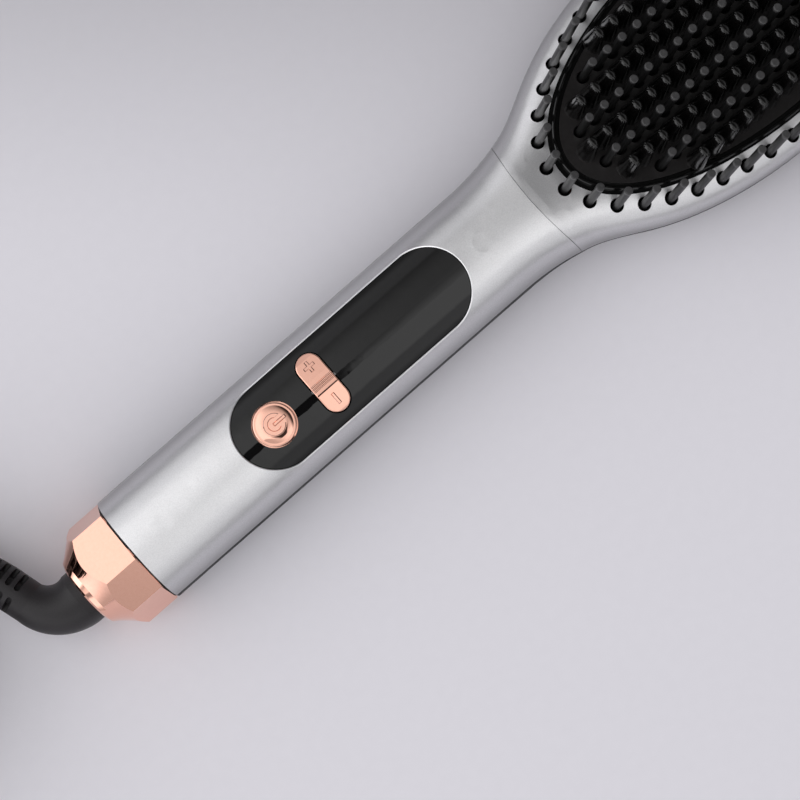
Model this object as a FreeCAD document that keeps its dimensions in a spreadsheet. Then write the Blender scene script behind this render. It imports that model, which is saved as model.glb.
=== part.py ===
import FreeCAD, Part
import Sketcher
import math
import os

Vector = FreeCAD.Vector
Placement = FreeCAD.Placement
Rotation = FreeCAD.Rotation

# Heated straightening brush lying on its back, bristles up.
# Frame: +X from the cord end to the tip of the head, +Z up out of the bristle face, origin under
# the middle of the brush on the surface that it lies on. All lengths in mm, angles in degrees.

SIZES = [
    # overall form
    ("grip_width", 31.8, "width of the straight grip"),
    ("grip_front_height", 12.5, "height of the front shell above the parting line"),
    ("grip_back_depth", 13.0, "height of the parting line above the resting face"),
    ("widest_drop", 4.5, "widest line of the grip below the parting line, fading out in the head"),
    ("rest_cut", 0.6, "round of the back that is cut away by the flat resting strip"),
    ("grip_length", 136.15, "collar seam to neck seam"),
    ("collar_length", 17.15, "collar seam to the mouth of the end collar"),
    ("head_length", 137.4, "neck seam to the tip"),
    ("head_width", 70.6, "widest part of the head"),
    ("head_widest", 66.0, "neck seam to the widest part"),
    ("head_near_axis", 69.0, "long half axis of the head's oval on the grip's side"),
    ("flare_before", 17.0, "start of the flare, before the neck seam"),
    ("flare_after", 14.0, "end of the flare, after the neck seam"),
    ("drop_before", 2.2, "start of the face's and parting line's slope, before the neck seam"),
    ("drop_after", 0.6, "where those slopes are straight, after the neck seam"),
    ("tip_round", 18.0, "length over which the tip's thickness rounds off"),
    ("face_slope", 5.5, "slope of the bristle face towards the tip"),
    ("parting_slope", 3.0, "slope of the parting line in the head"),
    ("grip_power", 2.4, "roundness of the grip's section, 2 is an ellipse"),
    ("head_power", 3.4, "roundness of the head's section"),
    ("shell_wall", 2.0, "wall of the shells"),
    ("seam_gap", 0.12, "gap between two shells along a seam"),
    ("neck_bow", 1.7, "how far the neck seam bows towards the grip"),
    # screws and bosses
    ("boss_radius", 3.2, "screw boss of the back shell"),
    ("post_radius", 2.6, "screw post of the front shells"),
    ("rear_screw_from_seam", 11.0, "collar seam to the rear shell screw"),
    ("screw_radius", 1.1, "shank of a shell screw"),
    ("screw_head_radius", 2.1, "head of a shell screw"),
    ("screw_head_height", 1.6, "height of a shell screw's head"),
    ("screw_length", 12.0, "shank length of a shell screw"),
    ("screw_recess", 3.0, "depth of the screw heads' wells"),
    ("fit_gap", 0.1, "gap round pieces that fit in one another and stay put"),
    # control panel and keys
    ("power_from_seam", 48.25, "collar seam to the power key"),
    ("panel_width", 22.7, "width of the control panel"),
    ("panel_length", 73.9, "length of the control panel"),
    ("panel_recess", 0.35, "how deep the panel lies in the front shell"),
    ("panel_wall", 1.5, "thickness of the panel"),
    ("panel_gap", 0.15, "gap round the panel"),
    ("window_round", 0.3, "rounded lip of the front shell round the panel"),
    ("key_gap", 0.32, "gap round the keys"),
    ("key_radius", 5.65, "radius of the power key"),
    ("key_rise", 0.45, "rise of the power key above the panel's crest"),
    ("key_depth", 3.0, "height of the power key's cap"),
    ("key_flange", 0.9, "width of the flange that keeps the power key in"),
    ("key_flange_height", 0.5, "height of that flange"),
    ("key_travel", 0.5, "travel of the power key"),
    ("key_flat", 3.0, "radius of the level middle of the power key"),
    ("key_shoulder", 4.86, "radius where the power key's level edge begins"),
    ("key_crown", 9.5, "radius of curvature between middle and edge"),
    ("key_edge", 0.35, "rounded edge of the power key"),
    ("sign_rise", 0.25, "rise of the raised signs"),
    ("sign_slope", 0.2, "breadth of the slanted sides of the signs"),
    ("sign_width", 1.3, "foot of the power sign's ring"),
    ("sign_radius", 2.95, "outer radius of the power sign's ring"),
    ("sign_opening", 2.8, "opening of the power sign's ring"),
    ("sign_stroke", 0.95, "stroke of the power sign's bar, of the plus and of the minus"),
    ("sign_bar", 3.9, "length of the power sign's bar"),
    ("sign_bar_behind", 0.3, "start of that bar behind the key's middle"),
    ("sign_length", 3.3, "length of the strokes of the plus and of the minus"),
    ("sign_from_middle", 5.3, "middle of the rocker to the middle of the plus and of the minus"),
    ("rocker_from_power", 16.2, "power key to rocker key"),
    ("rocker_width", 7.1, "rocker key along the grip"),
    ("rocker_length", 17.5, "rocker key across the grip"),
    ("rocker_depth", 3.4, "height of the rocker key below the crest"),
    ("rocker_rise", 0.4, "rise of the rocker's ends over the grip's skin"),
    ("rocker_flat", 1.8, "half breadth of the rocker's level middle"),
    ("rocker_bend", 0.4, "breadth of the bend beside that middle"),
    ("rocker_slope", 7.5, "slope of the rocker's two halves"),
    ("rib_pitch", 0.7, "pitch of the three ribs in the rocker's middle"),
    ("rib_width", 0.45, "breadth of a rib"),
    ("rib_rise", 0.18, "rise of a rib"),
    ("rocker_edge", 0.3, "rounded edge of the rocker's top"),
    ("rocker_foot_radius", 1.4, "feet under the rocker key"),
    ("rocker_arm", 5.6, "axis of the rocker to each foot"),
    ("rocker_tilt", 2.5, "rocking angle to each side"),
    ("pin_radius", 0.75, "rocker pin"),
    ("pin_clearance", 0.06, "running clearance of the rocker pin"),
    ("pin_drop", 4.9, "depth of the rocker pin below the crest"),
    ("lug_width", 1.4, "lugs that hold the rocker pin"),
    ("lug_size", 3.2, "height and breadth of those lugs round the pin"),
    # electronics
    ("board_wall", 1.6, "circuit board thickness"),
    ("board_width", 21.0, "control board width"),
    ("board_length", 72.0, "control board length"),
    ("board_height", 15.0, "underside of the control board"),
    ("board_before_power", 12.0, "end of the control board before the power key"),
    ("board_post_radius", 2.0, "posts under the control board"),
    ("switch_size", 6.0, "tact switch body"),
    ("switch_height", 3.5, "tact switch body height"),
    ("plunger_radius", 1.5, "tact switch plunger"),
    ("plunger_rise", 0.6, "tact switch plunger above its body"),
    ("display_width", 15.0, "display module width"),
    ("display_length", 30.0, "display module length"),
    ("display_height", 4.4, "display module height"),
    ("display_from_power", 25.5, "power key to the display module"),
    ("mains_board_length", 30.0, "mains board length"),
    ("mains_board_width", 17.0, "mains board width"),
    ("mains_board_height", 4.4, "underside of the mains board"),
    ("mains_board_from_seam", 16.0, "collar seam to the mains board"),
    ("relay_length", 12.0, "relay length"),
    ("relay_width", 9.0, "relay width"),
    ("relay_height", 7.0, "relay height"),
    ("capacitor_radius", 3.0, "smoothing capacitor radius"),
    ("capacitor_height", 7.5, "smoothing capacitor height"),
    # plate, teeth and bristles
    ("rim_length", 120.0, "length of the oval plate rim"),
    ("rim_width", 55.6, "width of the oval plate rim"),
    ("rim_from_neck", 8.6, "neck seam to the near end of the rim"),
    ("rim_end_band", 3.3, "breadth of the rim at its ends"),
    ("rim_side_band", 2.1, "breadth of the rim at its sides"),
    ("rim_groove", 0.9, "depth of the grooves on both sides of the rim's ridge"),
    ("rim_rise", 0.3, "rise of the rim's ridge above the face"),
    ("ridge_band", 0.95, "breadth of that ridge"),
    ("ridge_end_inset", 1.45, "edge of the rim to its ridge, at the ends"),
    ("ridge_side_inset", 0.35, "edge of the rim to its ridge, at the sides"),
    ("rim_depth", 3.6, "depth of the rim below the face"),
    ("plate_wall", 2.6, "thickness of the heater plate"),
    ("plate_gap", 0.1, "gap between the plate and its rim"),
    ("row_pitch", 10.0, "pitch of the tooth rows across the head"),
    ("tooth_pitch", 4.94, "pitch of the teeth along a row"),
    ("first_tooth", 8.05, "near end of the rim to the first tooth"),
    ("row_margin", 3.0, "least distance from a row's end to the plate's edge"),
    ("tooth_length", 4.7, "tooth base along the row"),
    ("tooth_width", 5.8, "tooth base across the row"),
    ("tooth_height", 10.5, "height of the teeth"),
    ("tooth_tip_length", 2.4, "tooth tip along the row"),
    ("tooth_tip_width", 3.6, "tooth tip across the row"),
    ("tooth_dome", 0.9, "height of the rounded top of a tooth"),
    ("tooth_lean", 1.2, "tooth tip ahead of the middle of its base"),
    ("bristle_radius", 1.1, "radius of the bristles"),
    ("bristle_edge", 0.25, "slanted edge round the flat tip of a bristle"),
    ("bristle_height", 15.0, "height of the bristles above the face"),
    ("bristle_hole_radius", 1.65, "holes round the bristles"),
    ("bristle_foot", 0.4, "length of a bristle's foot that is cut level"),
    ("bristle_lean", 5.1, "lean of the bristles towards the tip"),
    ("pad_wall", 1.5, "thickness of the bristle pad"),
    ("rim_ledge", 1.5, "ledge of the rim under the plate"),
    ("pad_gap", 0.3, "gap between the bristle pad and the rim's ledge"),
    ("ring_long", 63.3, "long half axis of the ring of rim bristles"),
    ("ring_short", 31.4, "short half axis of that ring"),
    ("ring_ahead", 0.75, "middle of that ring ahead of the plate's middle"),
    ("ring_count", 43, "number of rim bristles"),
    ("ring_hole_radius", 1.8, "holes of the rim bristles"),
    ("carrier_drop", 6.6, "top of the rim bristles' carrier below the face"),
    ("carrier_wall", 1.2, "thickness of that carrier"),
    ("carrier_band", 3.4, "breadth of that carrier"),
    # heater, steam and water
    ("heater_width", 6.6, "width of the ceramic heaters"),
    ("heater_length", 34.0, "length of one ceramic heater"),
    ("heater_spacing", 40.0, "distance between the heaters' middles"),
    ("heater_wall", 2.3, "thickness of the ceramic heaters"),
    ("clamp_wall", 1.0, "thickness of the heater clamp"),
    ("clamp_width", 12.0, "width of the heater clamp"),
    ("sensor_radius", 1.2, "temperature sensor radius"),
    ("sensor_length", 5.0, "temperature sensor length"),
    ("fuse_radius", 1.6, "thermal fuse radius"),
    ("fuse_length", 10.0, "thermal fuse length"),
    ("tank_length", 46.0, "length of the water tank"),
    ("tank_width", 27.0, "width of the water tank"),
    ("tank_height", 4.6, "height of the water tank"),
    ("tank_wall", 1.0, "wall of the water tank"),
    ("tank_lift", 0.7, "water tank above the shell's floor"),
    ("tank_from_neck", 30.0, "neck seam to the water tank"),
    ("plug_radius", 4.0, "filling plug radius"),
    ("plug_lip", 1.2, "breadth of the filling plug's lip"),
    ("tube_radius", 1.0, "water tube radius"),
    # end collar and swivel
    ("gap_ring", 0.45, "width of the dark joint between shell and collar"),
    ("gap_ring_inset", 0.7, "how deep that joint lies"),
    ("collar_prism", 10.25, "collar seam to the end of the facets"),
    ("collar_cone", 5.1, "length of the collar's conical part"),
    ("collar_cone_end", 10.9, "half breadth at the end of the cone"),
    ("collar_round", 1.3, "length of the rounded end after the cone"),
    ("collar_round_end", 10.0, "half breadth at the end of that round"),
    ("collar_mouth_edge", 9.0, "half breadth of the collar's flat end"),
    ("collar_bore", 7.95, "radius of the collar's mouth"),
    ("collar_lip", 3.5, "depth of the collar's mouth"),
    ("collar_hollow", 10.9, "radius of the hollow behind the mouth"),
    ("facet_outer", 11.9, "outer facet edges from the middle"),
    ("facet_inner", 2.5, "inner facet edge from the middle"),
    ("facet_rise", 0.5, "rise of the facet edges over the grip's skin"),
    ("collar_edge", 0.25, "bevel of the collar's edge at its seam"),
    ("spigot_length", 4.5, "tail frame's spigot in the shells"),
    ("spigot_wall", 1.5, "wall of that spigot"),
    ("bush_radius", 6.4, "swivel bush outer radius"),
    ("bush_length", 9.0, "swivel bush length"),
    ("stem_radius", 4.5, "stem of the swivelling elbow"),
    ("stem_clearance", 0.05, "running clearance of the stem"),
    ("stem_bore", 2.0, "bore of the stem for the mains leads"),
    ("stem_beyond", 2.2, "stem beyond the bush"),
    ("clip_wall", 1.0, "retaining clip thickness"),
    ("clip_radius", 6.0, "retaining clip radius"),
    ("clip_groove", 3.4, "radius of the stem in the clip's groove"),
    ("elbow_radius", 7.55, "radius of the elbow at the collar"),
    ("elbow_waist", 5.6, "radius of the elbow after its bend"),
    ("elbow_turn", 74.5, "turn of the elbow"),
    ("elbow_stub", 2.3, "straight part of the elbow outside the collar"),
    ("elbow_inside", 2.0, "shoulder of the elbow inside the mouth"),
    ("elbow_bend", 10.9, "middle radius of the elbow's bend"),
    ("arm_length", 8.0, "arm after the bend, up to its thickest place"),
    ("arm_radius", 5.7, "radius of the arm at its thickest place"),
    ("relief_length", 20.0, "tapered rest of the strain relief"),
    ("relief_radius", 4.3, "radius at the cord's end of the strain relief"),
    ("slot_pitch", 2.75, "pitch of the flex slots"),
    ("slot_width", 1.5, "width of a flex slot"),
    ("slot_count", 8, "rings of flex slots"),
    ("slot_from_bend", 3.4, "end of the bend to the first flex slot"),
    ("slot_floor", 3.5, "radius left at the floor of the slots"),
    ("slot_spine", 2.2, "breadth of the four spines between the slots"),
    # cord and mains plug
    ("cord_radius", 3.25, "radius of the mains cord"),
    ("coil_radius", 35.0, "middle radius of the wound coil"),
    ("coil_columns", 2, "turns side by side in the coil"),
    ("coil_layers", 4, "turns above each other in the coil"),
    ("plug_heading", 254.0, "direction of the mains plug on the coil"),
    ("plug_boot_length", 18.0, "length of the mains plug's boot"),
    ("plug_body_length", 34.0, "length of the mains plug's body"),
    ("plug_body_width", 24.0, "width of the mains plug's body"),
    ("plug_body_height", 13.7, "height of the mains plug's body"),
    ("plug_pin_radius", 2.0, "radius of the mains plug's pins"),
    ("plug_pin_length", 19.0, "length of the mains plug's pins"),
    ("plug_pin_spacing", 19.0, "distance between the mains plug's pins"),
]

doc = FreeCAD.newDocument("straightening_brush")
sheet = doc.addObject("Spreadsheet::Sheet", "Sizes")
for row, (alias, value, meaning) in enumerate(SIZES, start=1):
    sheet.set("A%d" % row, meaning)
    sheet.set("B%d" % row, str(value))
    sheet.setAlias("B%d" % row, alias)
doc.recompute()


def size(alias):
    """Value of one driving dimension."""
    return float(sheet.get(alias))


nodes = []


def keep(obj, label):
    """Registers a finished sub-part under its own name."""
    obj.Label = label
    nodes.append(obj)
    return obj


def bind(obj, **expressions):
    """Binds properties to expressions over the sheet's aliases; x, y, z place the object."""
    places = {"x": "Placement.Base.x", "y": "Placement.Base.y", "z": "Placement.Base.z"}
    for name, text in expressions.items():
        obj.setExpression(places.get(name, name), text)
    return obj


def feature(label, shape):
    """A sub-part whose form is worked out below from the sheet's sizes."""
    obj = doc.addObject("Part::Feature", label)
    obj.Shape = shape
    return keep(obj, label)


# ---------------------------------------------------------------- stations along the brush
total_length = size("collar_length") + size("grip_length") + size("head_length")
x_mouth = -total_length / 2
x_seam = x_mouth + size("collar_length")
x_power = x_seam + size("power_from_seam")
x_rocker = x_power + size("rocker_from_power")
x_neck = x_seam + size("grip_length")
x_tip = x_neck + size("head_length")
x_widest = x_neck + size("head_widest")
x_flare = x_neck - size("flare_before")
x_flared = x_neck + size("flare_after")
x_drop = x_neck - size("drop_before")
x_dropped = x_neck + size("drop_after")
x_loft = min(x_flare, x_drop)
z_part = size("grip_back_depth")
z_widest = z_part - size("widest_drop")
z_crest = z_part + size("grip_front_height")
z_axis = z_crest / 2
face_tan = math.tan(math.radians(size("face_slope")))
parting_tan = math.tan(math.radians(size("parting_slope")))

# the same stations as expressions, for the objects that are bound to the sheet
X_MOUTH = "(-(Sizes.collar_length + Sizes.grip_length + Sizes.head_length) / 2)"
X_SEAM = "(%s + Sizes.collar_length)" % X_MOUTH
X_POWER = "(%s + Sizes.power_from_seam)" % X_SEAM
X_ROCKER = "(%s + Sizes.rocker_from_power)" % X_POWER
Z_CREST = "(Sizes.grip_back_depth + Sizes.grip_front_height)"
Z_AXIS = "(%s / 2)" % Z_CREST
Z_BOARD_TOP = "(Sizes.board_height + Sizes.board_wall)"


def drop(x, slope):
    """Fall of a line that leaves the level smoothly about the neck seam."""
    run = x - x_drop
    blend = x_dropped - x_drop
    if run <= 0:
        return 0.0
    if run < blend:
        return slope * run * run / (2 * blend)
    return slope * (run - blend / 2)


def half_width(x):
    """Half breadth of the outline: straight grip, flare, then two half ovals."""
    grip = size("grip_width") / 2
    head = size("head_width") / 2
    near = size("head_near_axis")
    if x <= x_flare:
        return grip
    if x < x_flared:
        share = (x_widest - x_flared) / near
        end = head * math.sqrt(1 - share * share)
        end_slope = head * share / near / math.sqrt(1 - share * share)
        run = x_flared - x_flare
        u = (x - x_flare) / run
        rise = (3 * u * u - 2 * u ** 3) * (end - grip)
        return grip + rise + (u ** 3 - u * u) * end_slope * run
    axis = near if x < x_widest else x_tip - x_widest
    share = (x - x_widest) / axis
    return head * math.sqrt(max(0.0, 1 - share * share))


def tip_factor(x):
    """Share of the thickness that is left as the tip rounds off."""
    start = x_tip - size("tip_round")
    if x <= start:
        return 1.0
    share = (x - start) / size("tip_round")
    return max(0.0, 1 - share ** 2.4) ** (1 / 2.4)


def section_power(x):
    """The section goes from the grip's roundness to the head's over the near half."""
    share = min(1.0, max(0.0, (x - x_flare) / (x_widest - x_flare)))
    blend = share * share * (3 - 2 * share)
    return size("grip_power") + blend * (size("head_power") - size("grip_power"))


def parting(x):
    """Height of the parting line."""
    return z_part - drop(x, parting_tan)


def widest(x):
    """Height of the section's widest line, which rises to the parting line in the head."""
    share = min(1.0, max(0.0, (x - x_flare) / (x_flared - x_flare)))
    blend = share * share * (3 - 2 * share)
    return parting(x) - size("widest_drop") * (1 - blend)


def front_height(x):
    """Height of the crest above the widest line."""
    return (z_crest - drop(x, face_tan) - widest(x)) * tip_factor(x)


def back_depth(x):
    """Depth of the round back below the widest line."""
    return (widest(x) + size("rest_cut")) * tip_factor(x)


SECTION_STEPS = 12


def half_section(x, half, height, power):
    """Spline over one half of a section, from its +Y edge to its -Y edge."""
    points = []
    for step in range(SECTION_STEPS + 1):
        angle = math.pi * step / SECTION_STEPS
        across = math.copysign(abs(math.cos(angle)) ** (2 / power), math.cos(angle))
        up = math.sin(angle) ** (2 / power) if 0 < step < SECTION_STEPS else 0.0
        points.append(Vector(x, half * across, widest(x) + height * up))
    curve = Part.BSplineCurve()
    curve.interpolate(points)
    return curve.toShape()


def section_wire(x, inset):
    """Closed section of the brush at one station, inset from the outer skin."""
    half = half_width(x) - inset
    power = section_power(x)
    top = half_section(x, half, front_height(x) - inset, power)
    bottom = half_section(x, half, -(back_depth(x) - inset), power)
    return Part.Wire([top, bottom.reversed()])


def head_stations(inset):
    """Stations of the head past its neck: even steps, then closer and closer towards the tip."""
    last = x_tip - inset - 0.3
    turn = x_tip - size("tip_round") - inset
    even = 16
    stations = [x_dropped + (turn - x_dropped) * k / even for k in range(even)]
    closing = 7
    for k in range(closing + 1):
        stations.append(turn + (last - turn) * math.sin(math.pi / 2 * k / closing))
    return stations


def form(inset, start):
    """Solid of the whole brush from start to the tip, inset from the outer skin."""
    grip = Part.Face(section_wire(start, inset)).extrude(Vector(x_loft - start, 0, 0))
    runs = ((x_loft, x_drop, 5), (x_drop, x_dropped, 3))
    parts = []
    for begin, end, steps in runs:
        wires = [section_wire(begin + (end - begin) * k / steps, inset) for k in range(steps + 1)]
        parts.append(Part.makeLoft(wires, True, False))
    wires = [section_wire(x, inset) for x in head_stations(inset)]
    parts.append(Part.makeLoft(wires, True, False))
    return grip.multiFuse(parts)


def box(x0, x1, half_y, z0, z1):
    """Box that is centred across the brush."""
    return Part.makeBox(x1 - x0, 2 * half_y, z1 - z0, Vector(x0, -half_y, z0))


def below_parting(gap):
    """Everything below the parting surface, less a gap."""
    far = 2 * total_length
    low = -size("grip_front_height")
    count = 10
    line = [Vector(x_drop + (x_dropped - x_drop) * k / count, -far, 0) for k in range(count + 1)]
    for point in line:
        point.z = parting(point.x) - gap
    level = parting(x_mouth) - gap
    curve = Part.BSplineCurve()
    curve.interpolate(line)
    end = Vector(far, -far, parting(far) - gap)
    edges = [
        Part.makeLine(Vector(-far, -far, low), Vector(-far, -far, level)),
        Part.makeLine(Vector(-far, -far, level), line[0]),
        curve.toShape(),
        Part.makeLine(line[-1], end),
        Part.makeLine(end, Vector(far, -far, low - far)),
        Part.makeLine(Vector(far, -far, low - far), Vector(-far, -far, low)),
    ]
    return Part.Face(Part.Wire(edges)).extrude(Vector(0, 2 * far, 0))


def pieces_of(shape):
    """The solids of a shape, largest first."""
    return sorted(shape.Solids, key=lambda solid: -solid.Volume)


def upright(x, y, z0, z1, radius):
    """Upright cylinder."""
    return Part.makeCylinder(radius, z1 - z0, Vector(x, y, z0))


def stadium(x, y, length, width, z0, z1, along_x=True):
    """Upright prism with two parallel sides and round ends."""
    straight = (length - width) / 2
    block = Part.makeBox(2 * straight, width, z1 - z0, Vector(-straight, -width / 2, z0))
    ends = [upright(side * straight, 0, z0, z1, width / 2) for side in (-1, 1)]
    prism = block.multiFuse(ends).removeSplitter()
    if not along_x:
        prism.rotate(Vector(0, 0, 0), Vector(0, 0, 1), 90)
    prism.translate(Vector(x, y, 0))
    return prism


# ---------------------------------------------------------------- the tilted face of the head
x_plate = x_neck + size("rim_from_neck") + size("rim_length") / 2
z_plate = z_crest - drop(x_plate, face_tan)
face_frame = Placement(Vector(x_plate, 0, z_plate), Rotation(Vector(0, 1, 0), size("face_slope")))


def on_face(shape):
    """Moves a shape made round the middle of the face into its tilted place."""
    placed = shape.copy()
    placed.Placement = face_frame.multiply(placed.Placement)
    return placed


def oval(long_axis, short_axis, z0, z1):
    """Upright oval prism from its two half axes."""
    edge = Part.Ellipse(Vector(0, 0, z0), long_axis, short_axis).toShape()
    return Part.Face(Part.Wire(edge)).extrude(Vector(0, 0, z1 - z0))


rim_long = size("rim_length") / 2
rim_short = size("rim_width") / 2
plate_long = rim_long - size("rim_end_band") - size("plate_gap")
plate_short = rim_short - size("rim_side_band") - size("plate_gap")
plate_under = -size("plate_wall")


def grid_row(y, offset):
    """Places along one row of the plate, kept inside the plate's edge."""
    if abs(y) >= plate_short:
        return []
    reach = plate_long * math.sqrt(1 - (y / plate_short) ** 2) - size("row_margin")
    first = size("first_tooth") - rim_long + offset
    count = int(2 * rim_long / size("tooth_pitch")) + 1
    places = [first + k * size("tooth_pitch") for k in range(-1, count)]
    return [(x, y) for x in places if abs(x) <= reach]


rows_each_side = int(plate_short / size("row_pitch"))
tooth_places = []
bristle_places = []
for row in range(-rows_each_side, rows_each_side + 1):
    tooth_places += grid_row(row * size("row_pitch"), 0.0)
for row in range(-rows_each_side, rows_each_side):
    bristle_places += grid_row((row + 0.5) * size("row_pitch"), size("tooth_pitch") / 2)


def bristle(x, y, root, pivot):
    """Round bristle with a flat tip that leans about its pivot height."""
    radius = size("bristle_radius")
    edge = size("bristle_edge")
    low = root - size("bristle_foot")
    high = size("bristle_height") - edge
    shaft = Part.makeCylinder(radius, high - low, Vector(x, y, low))
    whole = shaft.fuse(Part.makeCone(radius, radius - edge, edge, Vector(x, y, high)))
    whole.rotate(Vector(x, y, pivot), Vector(0, 1, 0), size("bristle_lean"))
    return whole


def standing(bristles, root):
    """Bristles of one piece, their feet cut level on what they stand on."""
    reach = 2 * size("rim_length")
    below = Part.makeBox(reach, reach, 5, Vector(-reach / 2, -reach / 2, root - 5))
    return on_face(Part.makeCompound(bristles).cut(below))


ring_length_steps = 2 * int(size("ring_count")) + 1
ring_edge = Part.Ellipse(Vector(0, 0, 0), size("ring_long"), size("ring_short")).toShape()
ring_edge.rotate(Vector(0, 0, 0), Vector(0, 0, 1), 180)
ring_places = [(p.x + size("ring_ahead"), p.y) for p in ring_edge.discretize(ring_length_steps)[1::2]]

# ---------------------------------------------------------------- shells
outer_form = form(0.0, x_seam)
inner_form = form(size("shell_wall"), x_seam)
hollow = outer_form.cut(inner_form)
lower_half = below_parting(size("seam_gap") / 2)
upper_cut = below_parting(-size("seam_gap") / 2)
rest_cutter = box(x_mouth, x_tip + size("head_width"), size("head_width"), -size("head_width"), 0.0)

rear_screw = (x_seam + size("rear_screw_from_seam"), 0.0)
middle_screw = (x_power + size("panel_length") - size("panel_width") / 2 + 7.5, 0.0)
neck_screws = [(x_neck + 1.5, side * 0.29 * size("grip_width")) for side in (-1, 1)]
shell_screws = [rear_screw, middle_screw] + neck_screws
screw_seat = size("screw_recess")
screw_pass = size("screw_radius") + size("fit_gap")
well_radius = size("screw_head_radius") + size("fit_gap")


def make_back_shell():
    """Lower shell with its resting strip, screw bosses, board posts and carrier posts."""
    shell = hollow.common(lower_half)
    room = outer_form.common(lower_half)
    posts = [upright(x, y, 0, z_crest, size("boss_radius")) for x, y in shell_screws]
    board_under = size("board_height")
    post_x = [x_power + 9.0, x_power - size("board_before_power") + size("board_length") - 4.0]
    tall = []
    for x in post_x:
        for side in (-1, 1):
            y = side * (size("board_width") / 2 - 2.6)
            tall.append(upright(x, y, 1.0, board_under, size("board_post_radius")))
    mains_start = x_seam + size("mains_board_from_seam")
    for share in (0.15, 0.85):
        x = mains_start + share * size("mains_board_length")
        posts.append(box(x - 1.0, x + 1.0, 6.0, 0.5, size("mains_board_height")))
    carrier_under = size("carrier_drop") + size("carrier_wall")
    for k in range(3, int(size("ring_count")), 7):
        x, y = ring_places[k]
        stem = Part.makeCylinder(1.3, z_crest, Vector(x, y, -carrier_under - z_crest))
        posts.append(on_face(stem))
    shell = shell.multiFuse([post.common(room) for post in posts] + tall)
    cuts = [rest_cutter]
    for x, y in shell_screws:
        cuts.append(upright(x, y, -1.0, screw_seat, well_radius))
        cuts.append(upright(x, y, -1.0, z_crest, screw_pass))
    x, y = plug_place
    cuts.append(upright(x, y, -1.0, plug_seat, size("plug_radius") + size("plug_lip")))
    cuts.append(upright(x, y, -1.0, tank_under, size("plug_radius")))
    return pieces_of(shell.cut(Part.makeCompound(cuts)))[0]


def neck_tool(gap):
    """Everything on the head's side of the bowed neck seam."""
    bow = size("neck_bow")
    half = size("grip_width") / 2
    radius = (half * half + bow * bow) / (2 * bow)
    middle = x_neck - bow + gap
    disc = Part.makeCylinder(radius, 3 * z_crest, Vector(middle + radius, 0, -z_crest))
    rest = box(middle + radius, x_tip + radius, radius, -z_crest, 2 * z_crest)
    return disc.fuse(rest)


def post_with_pilot(x, y, room):
    """Screw post of a front shell, from the parting line up to the skin."""
    low = parting(x) + size("seam_gap")
    post = upright(x, y, low, 2 * z_crest, size("post_radius")).common(room)
    return post.cut(upright(x, y, low - 1, screw_seat + size("screw_length") + 0.5, size("screw_radius")))


panel_middle = x_power - size("panel_width") / 2 + size("panel_length") / 2


def window_lip(shell):
    """Rounds the outer edge of the panel's window."""
    half = size("panel_width") / 2
    straight = size("panel_length") / 2 - half
    lip = []
    for edge in shell.Edges:
        middle = edge.valueAt((edge.FirstParameter + edge.LastParameter) / 2)
        beyond = max(0.0, abs(middle.x - panel_middle) - straight)
        on_window = abs(math.hypot(beyond, middle.y) - half) < 1e-3
        if on_window and Part.Vertex(middle).distToShape(inner_form)[0] > 0.75 * size("shell_wall"):
            lip.append(edge)
    return shell.makeFillet(size("window_round"), lip)


def make_front_shells():
    """Grip's and head's front shells, cut apart along the neck seam."""
    front = hollow.cut(upper_cut)
    window = stadium(panel_middle, 0, size("panel_length"), size("panel_width"), z_part, 2 * z_crest)
    room = outer_form.cut(upper_cut)
    grip = window_lip(front.cut(neck_tool(-size("seam_gap") / 2)).cut(window))
    grip = grip.multiFuse([post_with_pilot(x, y, room) for x, y in (rear_screw, middle_screw)])
    head = front.common(neck_tool(size("seam_gap") / 2))
    opening = oval(rim_long + size("fit_gap"), rim_short + size("fit_gap"), -z_crest, z_crest)
    head = head.cut(on_face(opening))
    head = head.multiFuse([post_with_pilot(x, y, room) for x, y in neck_screws])
    holes = [Part.makeCylinder(size("ring_hole_radius"), z_crest, Vector(x, y, -8)) for x, y in ring_places]
    head = head.cut(on_face(Part.makeCompound(holes)))
    return pieces_of(grip)[0], pieces_of(head)[0]


# the water tank's filling plug comes up through the back, so the shell needs its place
tank_start = x_neck + size("tank_from_neck")
tank_under = size("shell_wall") - size("rest_cut") + size("tank_lift")
plug_place = (tank_start + size("tank_length") / 3, 0.0)
plug_seat = 0.8

feature("back_shell", make_back_shell())
grip_front, head_front = make_front_shells()
feature("grip_front_shell", grip_front)
feature("head_front_shell", head_front)

# ---------------------------------------------------------------- control panel and its keys
panel_top = size("panel_recess")
panel_ends = (panel_middle - size("panel_length") / 2, panel_middle + size("panel_length") / 2)


def grip_prism(inset):
    """The grip's straight section, inset, over the length of the panel."""
    start = panel_ends[0] - 1
    return Part.Face(section_wire(start, inset)).extrude(Vector(size("panel_length") + 2, 0, 0))


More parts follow.
